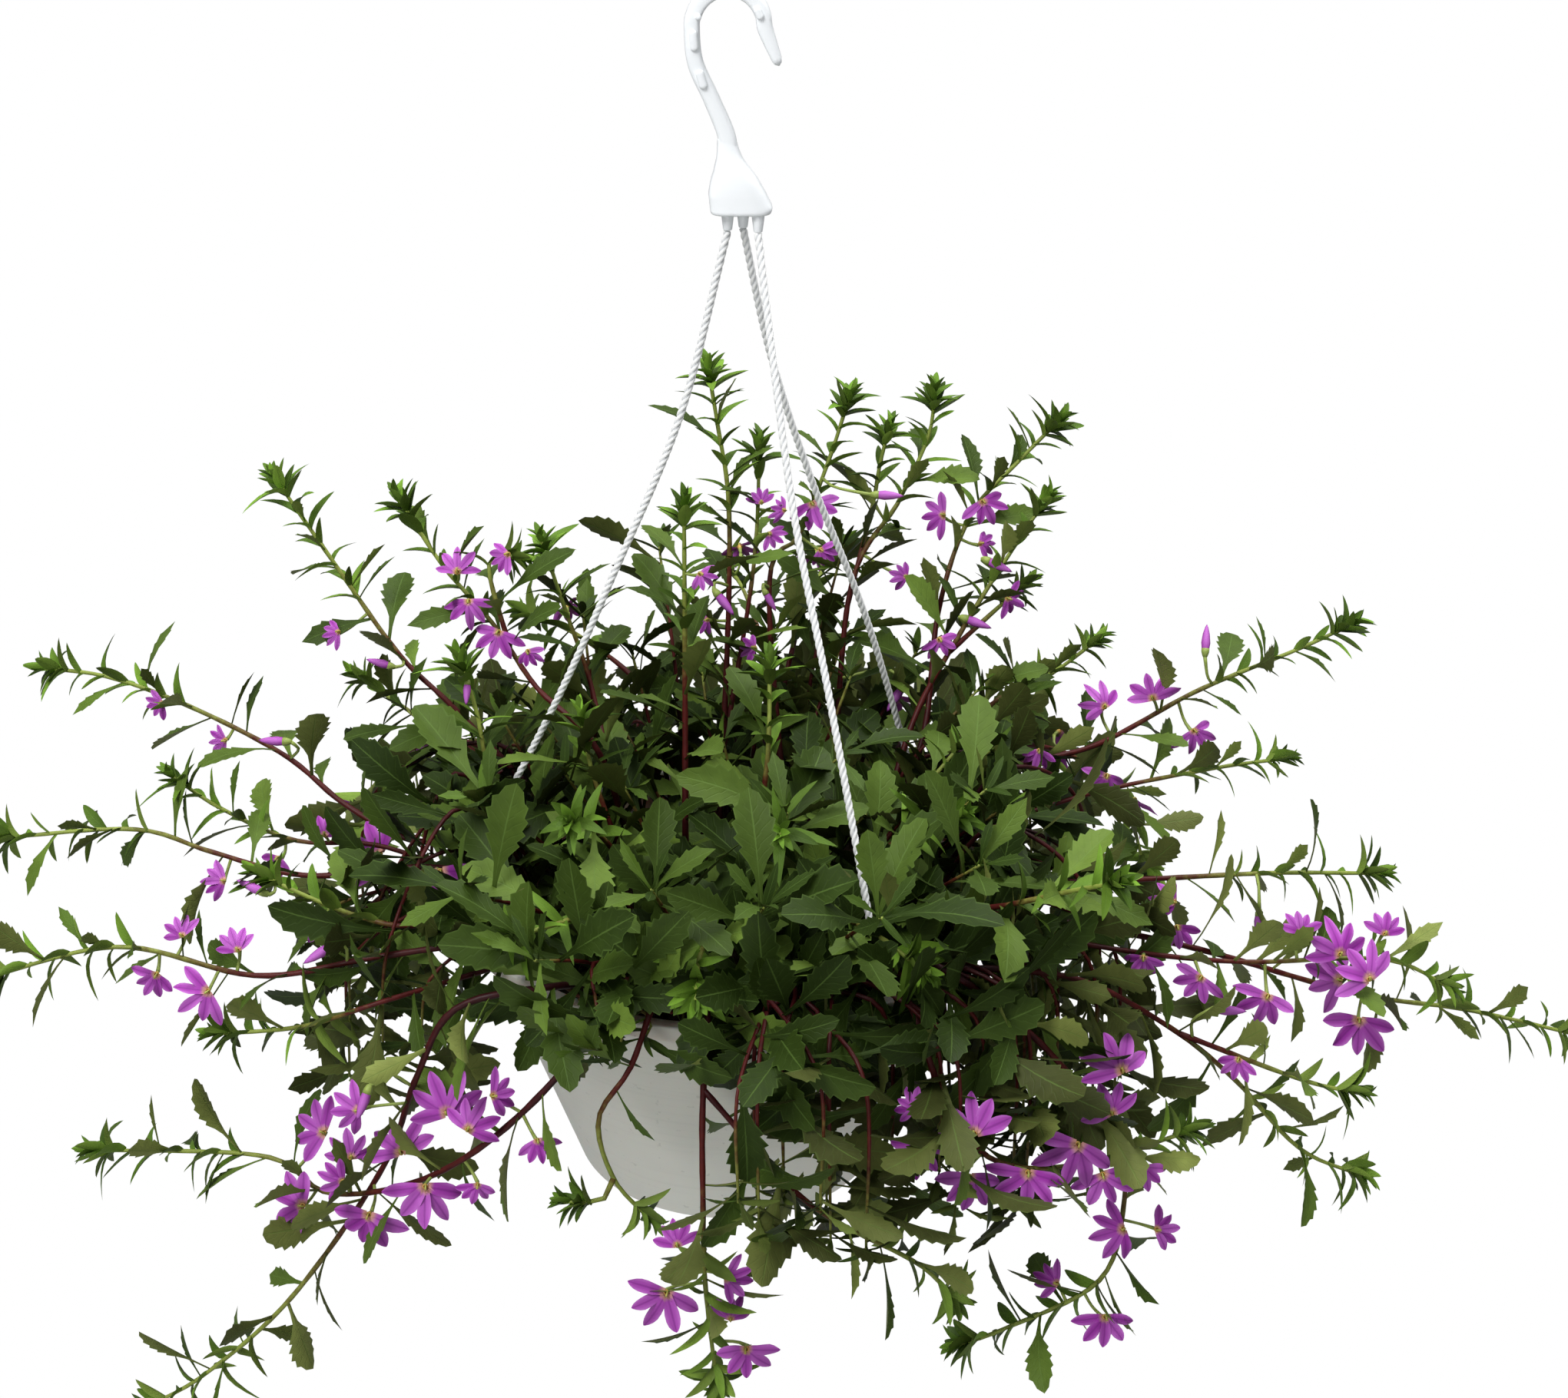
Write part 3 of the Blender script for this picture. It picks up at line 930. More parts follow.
def srgb(text):
    """A colour written as six hexadecimal digits, as linear red, green, blue and alpha."""
    parts = [int(text[k:k + 2], 16) / 255 for k in (0, 2, 4)]
    return tuple(c / 12.92 if c <= 0.04045 else ((c + 0.055) / 1.055) ** 2.4 for c in parts) + (1.0,)


class Nodes:
    """A node tree, and short names for the nodes that the surfaces here are made of."""

    def __init__(self, tree):
        self.tree = tree

    def put(self, kind, inputs=(), **traits):
        """A node with its traits set, and each input given a number or joined to another node's output."""
        made = self.tree.nodes.new(kind)
        for name, value in traits.items():
            setattr(made, name, value)
        for key, value in dict(inputs).items():
            if isinstance(value, bpy.types.NodeSocket):
                self.tree.links.new(value, made.inputs[key])
            else:
                made.inputs[key].default_value = value
        return made

    def calc(self, how, *values):
        return self.put("ShaderNodeMath", enumerate(values), operation=how).outputs[0]

    def times(self, one, other):
        return self.calc("MULTIPLY", one, other)

    def plus(self, one, other):
        return self.calc("ADD", one, other)

    def minus(self, one, other):
        return self.calc("SUBTRACT", one, other)

    def line(self, value, slope, start):
        return self.calc("MULTIPLY_ADD", value, slope, start)

    def from_middle(self, share):
        """|2 share − 1|: 0 in the middle and 1 at both sides."""
        return self.calc("ABSOLUTE", self.line(share, 2.0, -1.0))

    def step(self, value, low, high):
        """0 below low and 1 above high, with a smooth step between."""
        return self.put("ShaderNodeMapRange", {0: value, 1: low, 2: high}, interpolation_type="SMOOTHSTEP").outputs[0]

    def unstep(self, value, low, high):
        return self.minus(1.0, self.step(value, low, high))

    def tone(self, share, one, other, how="MIX"):
        return self.put("ShaderNodeMix", {0: share, 6: one, 7: other}, data_type="RGBA", blend_type=how).outputs[2]

    def lit(self, colour, light):
        """A colour times a light that may be over 1."""
        shade = self.put("ShaderNodeCombineColor", {0: light, 1: light, 2: light}).outputs[0]
        return self.tone(1.0, colour, shade, "MULTIPLY")

    def noise(self, place, scale, detail=3.0, rough=0.5):
        return self.put("ShaderNodeTexNoise", {"Vector": place, "Scale": scale, "Detail": detail, "Roughness": rough}
                        ).outputs["Fac"]

    def marked(self, name):
        return self.put("ShaderNodeAttribute", attribute_name=name).outputs["Fac"]

    def place(self):
        return self.put("ShaderNodeTexCoord").outputs["Object"]

    def uv(self):
        return self.put("ShaderNodeUVMap", uv_map="uv").outputs[0]

    def uv_parts(self):
        """The piece's own UV: share across and share along."""
        parts = self.put("ShaderNodeSeparateXYZ", {0: self.uv()})
        return parts.outputs[0], parts.outputs[1]

    def stretched(self, place, *scale):
        return self.put("ShaderNodeMapping", {"Vector": place, "Scale": scale}).outputs[0]


class Effect(Nodes):
    """A node group with named colours and numbers to take, and a colour, a roughness and a height to give."""

    def __init__(self, name, colours, *numbers):
        super().__init__(bpy.data.node_groups.new(name, "ShaderNodeTree"))
        sockets = [(label, "INPUT", "Color") for label in colours] + [(label, "INPUT", "Float") for label in numbers]
        sockets += [("Color", "OUTPUT", "Color"), ("Roughness", "OUTPUT", "Float"), ("Height", "OUTPUT", "Float")]
        for label, way, kind in sockets:
            self.tree.interface.new_socket(label, in_out=way, socket_type=f"NodeSocket{kind}")
        self.takes = self.put("NodeGroupInput").outputs
        self.end = self.put("NodeGroupOutput")

    def give(self, *values):
        for key, value in enumerate(values):
            self.tree.links.new(value, self.end.inputs[key])
        return self.tree


@functools.cache
def leaf_surface():
    """A leaf's skin: a pale midrib and margin, side veins that run forwards, blotches, a paler underside, and young
    leaves that are more yellow. Its light is 1.1 tint² + 0.24, times the blotches'."""
    fx = Effect("leaf_surface", ("Upper", "Lower", "Vein", "Young"), "Sheen_rough")
    across, ahead = fx.uv_parts()
    off = fx.from_middle(across)
    rib = fx.unstep(off, 0.01, 0.07)
    run = fx.minus(fx.times(ahead, 10.0), fx.times(off, 1.9))
    wave = fx.from_middle(fx.calc("FRACT", run))
    vein = fx.times(fx.step(wave, 0.72, 1.0), fx.unstep(off, 0.55, 1.0))
    place = fx.place()
    blotch, broad = fx.noise(place, 160.0), fx.noise(place, 22.0, 2.0)
    tint = fx.marked("tint")
    colour = fx.tone(fx.marked("under"), fx.takes["Upper"], fx.takes["Lower"])
    colour = fx.tone(fx.times(tint, 0.3), colour, fx.takes["Lower"])
    colour = fx.tone(fx.marked("young"), colour, fx.takes["Young"])
    light = fx.line(fx.times(tint, tint), 1.1, 0.24)
    light = fx.times(light, fx.line(blotch, 0.5, 0.75))
    light = fx.times(light, fx.line(broad, 0.7, 0.65))
    colour = fx.lit(colour, light)
    for share in (fx.times(rib, 0.42), fx.times(vein, 0.06), fx.times(fx.step(off, 0.88, 1.0), 0.3)):
        colour = fx.tone(share, colour, fx.takes["Vein"])
    rough = fx.plus(fx.takes["Sheen_rough"], fx.times(blotch, 0.15))
    return fx.give(colour, rough, fx.minus(fx.times(blotch, 0.35), fx.calc("MAXIMUM", rib, fx.times(vein, 0.7))))


@functools.cache
def stalk_surface():
    """A stalk's skin: maroon where it is old, red-brown and then yellow-green towards its tip, with streaks."""
    fx = Effect("stalk_surface", ("Old", "Middle", "Fresh"))
    young = fx.marked("young")
    grain = fx.noise(fx.stretched(fx.place(), 90.0, 90.0, 90.0), 3.0)
    age = fx.plus(young, fx.line(grain, 0.22, -0.11))
    colour = fx.tone(fx.step(age, 0.2, 0.62), fx.takes["Old"], fx.takes["Middle"])
    colour = fx.tone(fx.step(age, 0.58, 0.86), colour, fx.takes["Fresh"])
    return fx.give(fx.lit(colour, fx.line(grain, 0.7, 0.65)), fx.line(grain, 0.2, 0.38), grain)


@functools.cache
def petal_surface():
    """A petal's skin: darker along its keel, lighter at its wings and tip, pale at the throat, finely ribbed."""
    fx = Effect("petal_surface", ("Wing", "Body", "Keel", "Throat"))
    across, ahead = fx.uv_parts()
    off = fx.from_middle(across)
    wing = fx.times(fx.step(off, 0.35, 1.0), fx.step(ahead, 0.15, 0.6))
    keel, throat = fx.unstep(off, 0.0, 0.3), fx.unstep(ahead, 0.03, 0.2)
    tint = fx.marked("tint")
    fine = fx.noise(fx.place(), 900.0, 2.0)
    ribs = fx.noise(fx.stretched(fx.uv(), 26.0, 3.0, 1.0), 1.0)
    colour = fx.takes["Body"]
    for part, share, other in ((wing, 0.8, "Wing"), (tint, 0.5, "Wing"), (keel, 0.6, "Keel"), (ribs, 0.25, "Keel"),
                               (throat, 0.6, "Throat")):
        colour = fx.tone(fx.times(part, share), colour, fx.takes[other])
    return fx.give(colour, fx.line(fine, 0.2, 0.5), fx.plus(ribs, fx.times(fine, 0.3)))


@functools.cache
def plastic_surface():
    """Moulded plastic: fine level lines, a slow change of tone, and specks of dirt."""
    fx = Effect("plastic_surface", ("Plastic", "Dirt"), "Lines", "Specks", "Polish")
    place = fx.place()
    lines = fx.noise(fx.stretched(place, 6.0, 6.0, 420.0), 1.0, 4.0, 0.6)
    cloud, grit = fx.noise(place, 14.0), fx.noise(place, 260.0, 2.0)
    speck = fx.times(fx.step(grit, 0.66, 0.76), fx.takes["Specks"])
    colour = fx.tone(fx.times(fx.step(lines, 0.45, 0.75), fx.takes["Lines"]), fx.takes["Plastic"], fx.takes["Dirt"])
    colour = fx.tone(fx.times(fx.step(cloud, 0.45, 0.8), 0.12), colour, fx.takes["Dirt"])
    colour = fx.tone(speck, colour, fx.takes["Dirt"])
    rough = fx.plus(fx.takes["Polish"], fx.times(cloud, 0.18))
    return fx.give(colour, rough, fx.plus(fx.times(lines, fx.takes["Lines"]), speck))


@functools.cache
def rope_surface():
    """Twisted rope: fine fibres that cross the strands, and darker grooves between them."""
    fx = Effect("rope_surface", ("Fibre", "Groove"))
    across, ahead = fx.uv_parts()
    joined = fx.put("ShaderNodeCombineXYZ", {0: fx.times(across, 9.0), 1: fx.times(ahead, 220.0)}).outputs[0]
    fibre = fx.noise(joined, 2.0)
    colour = fx.tone(fx.marked("tint"), fx.takes["Fibre"], fx.takes["Groove"])
    colour = fx.tone(fx.times(fibre, 0.18), colour, fx.takes["Groove"])
    return fx.give(colour, fx.line(fibre, 0.2, 0.62), fibre)


@functools.cache
def soil_surface():
    """Potting soil: dark crumbs, lighter fibres and a few pale grains."""
    fx = Effect("soil_surface", ("Dark", "Light", "Grain"))
    place = fx.place()
    crumbs = fx.noise(place, 240.0, 6.0, 0.7)
    cells = fx.put("ShaderNodeTexVoronoi", {"Vector": place, "Scale": 210.0}).outputs["Distance"]
    rare = fx.step(fx.noise(place, 60.0, 1.0), 0.6, 0.66)
    colour = fx.tone(crumbs, fx.takes["Dark"], fx.takes["Light"])
    colour = fx.tone(fx.times(fx.unstep(cells, 0.1, 0.2), rare), colour, fx.takes["Grain"])
    return fx.give(colour, fx.line(crumbs, 0.15, 0.82), crumbs)


def finish(name, group, inputs, bump, depth, **traits):
    """A material: a surface's effect joined to a principled shader, with its height as a bump depth metres deep,
    and each trait as a plain number on the shader."""
    material = bpy.data.materials.new(name)
    material.use_nodes = True
    nodes = Nodes(material.node_tree)
    shader = nodes.tree.nodes["Principled BSDF"]
    made = nodes.put("ShaderNodeGroup", node_tree=group)
    for label, value in inputs.items():
        made.inputs[label].default_value = value
    raised = nodes.put("ShaderNodeBump", {"Strength": bump, "Distance": depth, "Height": made.outputs["Height"]})
    for output, label in ((made.outputs["Color"], "Base Color"), (made.outputs["Roughness"], "Roughness"),
                          (raised.outputs[0], "Normal")):
        nodes.tree.links.new(output, shader.inputs[label])
    for label, value in traits.items():
        shader.inputs[label.replace("_", " ")].default_value = value
    return material


def inks(plan, **keys):
    """The colours that an effect takes, each from a setting."""
    return {label: (*getattr(plan, key), 1.0) for label, key in keys.items()}


def plastic_material(name, plan, lines, specks, polish, bump, depth, **traits):
    """Moulded plastic, with shares of lines and specks, and the roughness of its polish."""
    inputs = {**inks(plan, Plastic="plastic", Dirt="dirt"), "Lines": lines, "Specks": specks, "Polish": polish}
    return finish(name, plastic_surface(), inputs, bump, depth, Specular_IOR_Level=0.5, **traits)


@functools.cache
def leaf_material():
    inputs = inks(settings("basket_leaves"), Upper="upper", Lower="lower", Vein="vein", Young="young")
    return finish("leaf_green", leaf_surface(), {**inputs, "Sheen_rough": 0.48}, 0.3, 0.0005, Specular_IOR_Level=0.14)


@functools.cache
def stalk_material():
    inputs = inks(settings("basket_leaves"), Old="stalk_old", Middle="stalk_middle", Fresh="stalk_fresh")
    return finish("stalk_maroon", stalk_surface(), inputs, 0.25, 0.0004, Specular_IOR_Level=0.2)


@functools.cache
def bloom_materials():
    """The petals' skin, and that of throats, cups and pedicels."""
    plan = settings("basket_flowers")
    inputs = inks(plan, Wing="wing", Body="body", Keel="keel", Throat="throat")
    petal = finish("petal_purple", petal_surface(), inputs, 0.3, 0.0003, Specular_IOR_Level=0.3)
    inputs = inks(plan, Old="throat_foot", Middle="throat", Fresh="cup")
    throat = finish("flower_throat", stalk_surface(), inputs, 0.2, 0.0003, Specular_IOR_Level=0.3)
    return petal, throat


# ---- what a user may change -------------------------------------------------------------------------


def colour(name, description, text):
    return FloatVectorProperty(name=name, description=description, subtype="COLOR", size=3, min=0, max=1,
                               default=srgb(text)[:3])


def length(name, description, default):
    return FloatProperty(name=name, description=description, default=default, min=0.0001, subtype="DISTANCE",
                         unit="LENGTH")


class BasketPot(bpy.types.PropertyGroup):
    """Pot and soil."""

    plastic: colour("Plastic", "Colour of the pot's white plastic", "ece8dd")
    dirt: colour("Dirt", "Colour of the marks on the plastic", "a9a59b")
    corner: length("Corner", "Radius of the pot's moulded corners", 0.0012)
    soil_dark: colour("Soil", "Darkest colour of the soil", "1d1511")
    soil_light: colour("Soil crumbs", "Lightest colour of the soil's crumbs", "4a382b")
    grain: colour("Grains", "Colour of the pale grains in the soil", "cfc8b8")


class BasketHanger(bpy.types.PropertyGroup):
    """Hook, clips and cords."""

    plastic: colour("Plastic", "Colour of the hook and clips", "f8fbfd")
    dirt: colour("Marks", "Colour of the marks on the plastic", "b9c0c8")
    fibre: colour("Rope", "Colour of the rope's fibres", "f6f6f4")
    groove: colour("Rope grooves", "Colour between the rope's strands", "b6babf")
    lay: length("Lay", "Length of rope in which a strand turns once", 0.0115)
    groove_depth: length("Groove depth", "How deep the grooves between strands are", 0.00062)


class BasketLeaves(bpy.types.PropertyGroup):
    """Stalks and leaves."""

    upper: colour("Upper face", "Colour of a leaf's upper face", "446019")
    lower: colour("Underside", "Colour of a leaf's underside", "6e773c")
    vein: colour("Veins", "Colour of the midrib and side veins", "5f7a38")
    young: colour("Young leaves", "Colour of the leaves at the tips", "6b942b")
    stalk_old: colour("Old stalk", "Colour of a stalk near the soil", "2a070c")
    stalk_middle: colour("Middle stalk", "Colour of a stalk half way along", "4e1613")
    stalk_fresh: colour("Fresh stalk", "Colour of a stalk near its tip", "7f8c3e")
    spacing: length("Leaf spacing", "Distance between added leaves near the soil", 0.0105)
    sprouts: IntProperty(name="Crown sprouts", description="Short leafy shoots that fill the crown", default=38,
                         min=0, max=200)
    trailers: IntProperty(name="Rim trailers", description="Short leafy shoots that hang over the rim", default=64,
                          min=0, max=200)


class BasketFlowers(bpy.types.PropertyGroup):
    """Blooms and buds."""

    wing: colour("Petal edge", "Colour of a petal's wings and tip", "bb6cc2")
    body: colour("Petal", "Colour of a petal", "972d9d")
    keel: colour("Petal keel", "Colour along the middle of a petal", "701a78")
    throat: colour("Throat", "Colour of a bloom's throat", "c9a24e")
    throat_foot: colour("Throat foot", "Colour at the foot of a bloom's throat", "6b3a12")
    cup: colour("Cup", "Colour of a bloom's cup and pedicel", "8a9a4c")
    petal_width: FloatProperty(name="Petal width", description="Width of a petal as a share of its length",
                               default=0.35, min=0.1, max=0.8, subtype="FACTOR")


class BasketStage(bpy.types.PropertyGroup):
    """Floor, lights and camera."""

    floor: colour("Floor", "Colour of the floor", "fbfbfb")
    drop: length("Floor drop", "Distance of the floor below the point where the hook bears", 1.6)
    bounce: FloatProperty(name="Floor bounce", description="Share of the light that the floor gives back",
                          default=0.4, min=0, max=1, subtype="FACTOR")
    sky: FloatProperty(name="Sky", description="Strength of the even light from above", default=0.48, min=0)
    key: FloatProperty(name="Key light", description="Power of the large light above", default=58.0, min=0,
                       unit="POWER")


# ---- operators --------------------------------------------------------------------------------------


def seen_white(nodes, lit):
    """Whatever is lit, shown plain white where the picture sees it directly."""
    white = nodes.put("ShaderNodeEmission", {"Color": (1, 1, 1, 1), "Strength": 1.0}).outputs[0]
    seen = nodes.put("ShaderNodeLightPath").outputs["Is Camera Ray"]
    return nodes.put("ShaderNodeMixShader", {0: seen, 1: lit, 2: white}).outputs[0]


def white_sky(strength):
    """Even light that is weaker from below, before a white background."""
    world = bpy.data.worlds.new("sky")
    world.use_nodes = True
    nodes = Nodes(world.node_tree)
    height = nodes.put("ShaderNodeSeparateXYZ", {0: nodes.put("ShaderNodeTexCoord").outputs["Generated"]}).outputs[2]
    power = nodes.times(nodes.step(height, -0.5, 0.6), strength)
    lit = nodes.put("ShaderNodeBackground", {"Color": (0.96, 0.98, 1, 1), "Strength": power}).outputs[0]
    nodes.tree.links.new(seen_white(nodes, lit), nodes.tree.nodes["World Output"].inputs[0])
    return world


def floor_paint(colour, bounce):
    """Pale matt paint that gives back a share of the light."""
    material = bpy.data.materials.new("floor_paint")
    material.use_nodes = True
    nodes = Nodes(material.node_tree)
    shader = nodes.tree.nodes["Principled BSDF"]
    shader.inputs["Base Color"].default_value = (*(part * bounce for part in colour), 1.0)
    shader.inputs["Roughness"].default_value = 0.9
    nodes.tree.links.new(seen_white(nodes, shader.outputs[0]), nodes.tree.nodes["Material Output"].inputs[0])
    return material


CAMERA = {"tilt": 64, "lens": 60.92, "shift_x": 0.0355, "far": 60}  # as fitted to the rim, base and hook
FLOOR_REACH = 30
# Each lamp's name, place and side in metres, and its share of the key light's power.
LAMPS = [("key", (-1.1, -1.2, 1.7), 1.2, 1), ("top", (0.6, 0.5, 1.6), 1.6, 0.85),
         ("front", (-0.4, -2.2, -0.9), 1.6, 0.17)]


class StageOperator(bpy.types.Operator):
    """Sets up the camera, the floor and soft studio light"""

    bl_idname = "basket.stage"
    bl_label = "Stage"

    def execute(self, context):
        plan, scene = settings("basket_stage"), context.scene
        camera = bpy.data.cameras.new("camera")
        camera.sensor_width, camera.lens, camera.shift_x = 36, CAMERA["lens"], CAMERA["shift_x"]
        camera.clip_end = CAMERA["far"]
        eye = bpy.data.objects.new("camera", camera)
        eye.location, eye.rotation_euler = EYE * MM, (math.radians(CAMERA["tilt"]), 0, 0)
        scene.camera = eye
        scene.world = white_sky(plan.sky)
        scene.view_settings.view_transform = "Standard"
        sheet = bpy.data.meshes.new("floor")
        sheet.from_pydata([(x * FLOOR_REACH, y * FLOOR_REACH, -plan.drop)
                           for x, y in ((-1, -1), (1, -1), (1, 1), (-1, 1))], [], [(0, 1, 2, 3)])
        sheet.materials.append(floor_paint(plan.floor, plan.bounce))
        floor = bpy.data.objects.new("floor", sheet)
        for made in (eye, floor):
            scene.collection.objects.link(made)
        for name, place, size, share in LAMPS:
            light = bpy.data.lights.new(name, "AREA")
            light.energy, light.size = plan.key * share, size
            lamp = bpy.data.objects.new(name, light)
            lamp.location = place
            aim = -np.array(place) + (0, 0, RIM_Z * MM)
            lamp.rotation_euler = (math.atan2(math.hypot(aim[0], aim[1]), -aim[2]), 0, math.atan2(-aim[0], aim[1]))
            scene.collection.objects.link(lamp)
        return {"FINISHED"}


class CordsOperator(bpy.types.Operator):
    """Lays the three twisted cords from the hook to the pot"""

    bl_idname = "basket.cords"
    bl_label = "Cords"

    def execute(self, context):
        plan = settings("basket_hanger")
        rope = finish("white_rope", rope_surface(), inks(plan, Fibre="fibre", Groove="groove"), 0.3, 0.0002,
                      Specular_IOR_Level=0.3)
        for name in CORD_ROUTES:
            line = cord_line(name)
            share, angle = np.linspace(0, 1, int(line.length * CORD["rings_per_mm"])), circle(CORD["sides"])
            turn = share[:, None] * line.length / (plan.lay / MM) * 2 * np.pi
            groove = 1 - np.abs(np.sin(CORD["strands"] / 2 * (angle[None] - turn)))
            radius = CORD["radius"] - plan.groove_depth / MM * groove**1.4
            path = line.at(share)
            cord = Surface()
            cord.add(*tube(path, radius, CORD["sides"]), tint=np.append(groove.ravel() ** 2, [0, 0]))
            made = cord.piece(name.replace("cord", "rope"), [rope], "cord", name)
            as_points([tuple(p * MM) for p in path[::4]] + [
                        tuple(path[-1] * MM)])
        return {"FINISHED"}


def loft(centres, halves, depths, sides=28, squareness=0.45, upright=False):
    """A strap in the X-Z plane: at every centre, a rounded oblong half wide in the plane and depth deep along Y,
    point (a) at half sgn(cos a)|cos a|^q along the strap's own width and depth/2 sgn(sin a)|sin a|^q along Y."""
    centres = np.asarray(centres, float)
    heading = np.tile(Z, (len(centres), 1)) if upright else unit(np.gradient(centres, axis=0))
    across = np.stack([-heading[:, 2], np.zeros(len(heading)), heading[:, 0]], axis=-1)
    angle = circle(sides)
    wide, deep = (np.sign(wave) * np.abs(wave) ** squareness for wave in (np.cos(angle), np.sin(angle)))
    rings = (centres[:, None] + across[:, None] * (wide * np.asarray(halves)[:, None])[..., None]
             + np.array([0, -1.0, 0]) * (deep * np.asarray(depths)[:, None] / 2)[..., None])
    return skin_over(rings, centres[[0, -1]])


def ended(route, count, halves, depths, soft):
    """Places along a route, with the halves and depths there, drawn in over the last soft mm of both ends on a
    quarter of a circle so that the ends are round."""
    share = np.linspace(0, 1, count)
    marks = np.interp(share, np.linspace(0, 1, len(halves)), halves), np.interp(
        share, np.linspace(0, 1, len(depths)), depths)
    run = share * route.length
    gap = np.minimum(run, route.length - run) / soft
    pull = np.sqrt(np.clip(1 - (1 - np.clip(gap, 0.02, 1)) ** 2, 0, 1))
    return route.at(share), marks[0] * pull, marks[1] * (0.25 + 0.75 * pull)


class HookOperator(bpy.types.Operator):
    """Moulds the hook with its flared base, bosses and cord sleeves, and finishes the clips on the rim"""

    bl_idname = "basket.hook"
    bl_label = "Hook and clips"

    def execute(self, context):
        plastic = plastic_material("hook_plastic", settings("basket_hanger"), 0.02, 0.08, 0.22, 0.06, 0.0002,
                                   Coat_Weight=0.15)
        hook = Surface()
        for part in (self.strap(), self.base(), *self.bosses(), *self.sleeves()):
            hook.add(*part)
        hook.piece("hook_moulding", [plastic], "hook", "hook")
        for name in CORD_ROUTES:
            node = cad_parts[name.replace("cord", "rim_clip")]
            node.data.materials.clear()
            node.data.materials.append(plastic)
        return {"FINISHED"}

    @staticmethod
    def strap():
        """The strap from the base over the arch to the free tip, a little narrower than a half circle."""
        arch, sweep = HOOK["inner"] + HOOK["strap"] / 2, np.radians(np.arange(180, -1, -20))
        line = [(x, z) for x, z, _ in HOOK_STRAP]
        line += [(arch * math.cos(a) * 0.95, -HOOK["inner"] + arch * math.sin(a)) for a in sweep]
        line += [HOOK["before_tip"], HOOK["tip"]]
        halves = [half for _, _, half in HOOK_STRAP] + [HOOK["strap"] / 2] * len(sweep) + HOOK["tip_halves"]
        return loft(*ended(Route([(x, 0, z) for x, z in line]), 110, halves, [HOOK["depth"]], 3.0))

    @staticmethod
    def base():
        """The flared base between its two flanks."""
        rise, inset, deep = np.array(BASE_RINGS, float).T
        heights = HOOK_BASE["bottom"] + rise
        left, right = (np.interp(heights, [z for _, z in HOOK_BASE[side]][::-1] + [NECK["height"]],
                                 [x for x, _ in HOOK_BASE[side]][::-1] + [NECK[side]]) for side in ("left", "right"))
        steps = np.linspace(0, 1, 48)
        rings = Route(np.stack([(left + right) / 2, (right - left) / 2 - inset, heights], axis=-1))
        middle, half, height = rings.span(steps).T
        return loft(np.stack([middle, np.zeros(len(steps)), height], axis=-1), half,
                    np.interp(steps, np.linspace(0, 1, len(deep)), deep), squareness=0.5, upright=True)

    @staticmethod
    def bosses():
        """The raised oblongs on the hook's front face."""
        face = -HOOK["depth"] / 2 - 0.1
        for start, end, radius in BOSSES:
            route = Route([(x, face, z) for x, z in (start, end)])
            yield loft(*ended(route, 24, [radius], [BOSS_DEPTH], radius), sides=20, squareness=0.8)

    @staticmethod
    def sleeves():
        """The tapered sleeves that the cords leave from."""
        top, low = HOOK_BASE["bottom"] + 0.8, HOOK_BASE["bottom"] - SLEEVE["length"] - 0.4
        profile = rounded([(0, low), (SLEEVE["end"], low), (SLEEVE["top"], top), (0, top)], 0.6)
        for route in CORD_ROUTES.values():
            yield turned(profile, 20, (*route["exit"], 0))


def wall_within(height):
    """The radius of the room inside the pot's wall at a height, less the soil's clearance."""
    share = (height - RIM_Z + POT["height"]) / POT["height"]
    return mix(POT["foot"], POT["wall_top"], share) - POT["wall"] - SOIL["clearance"]


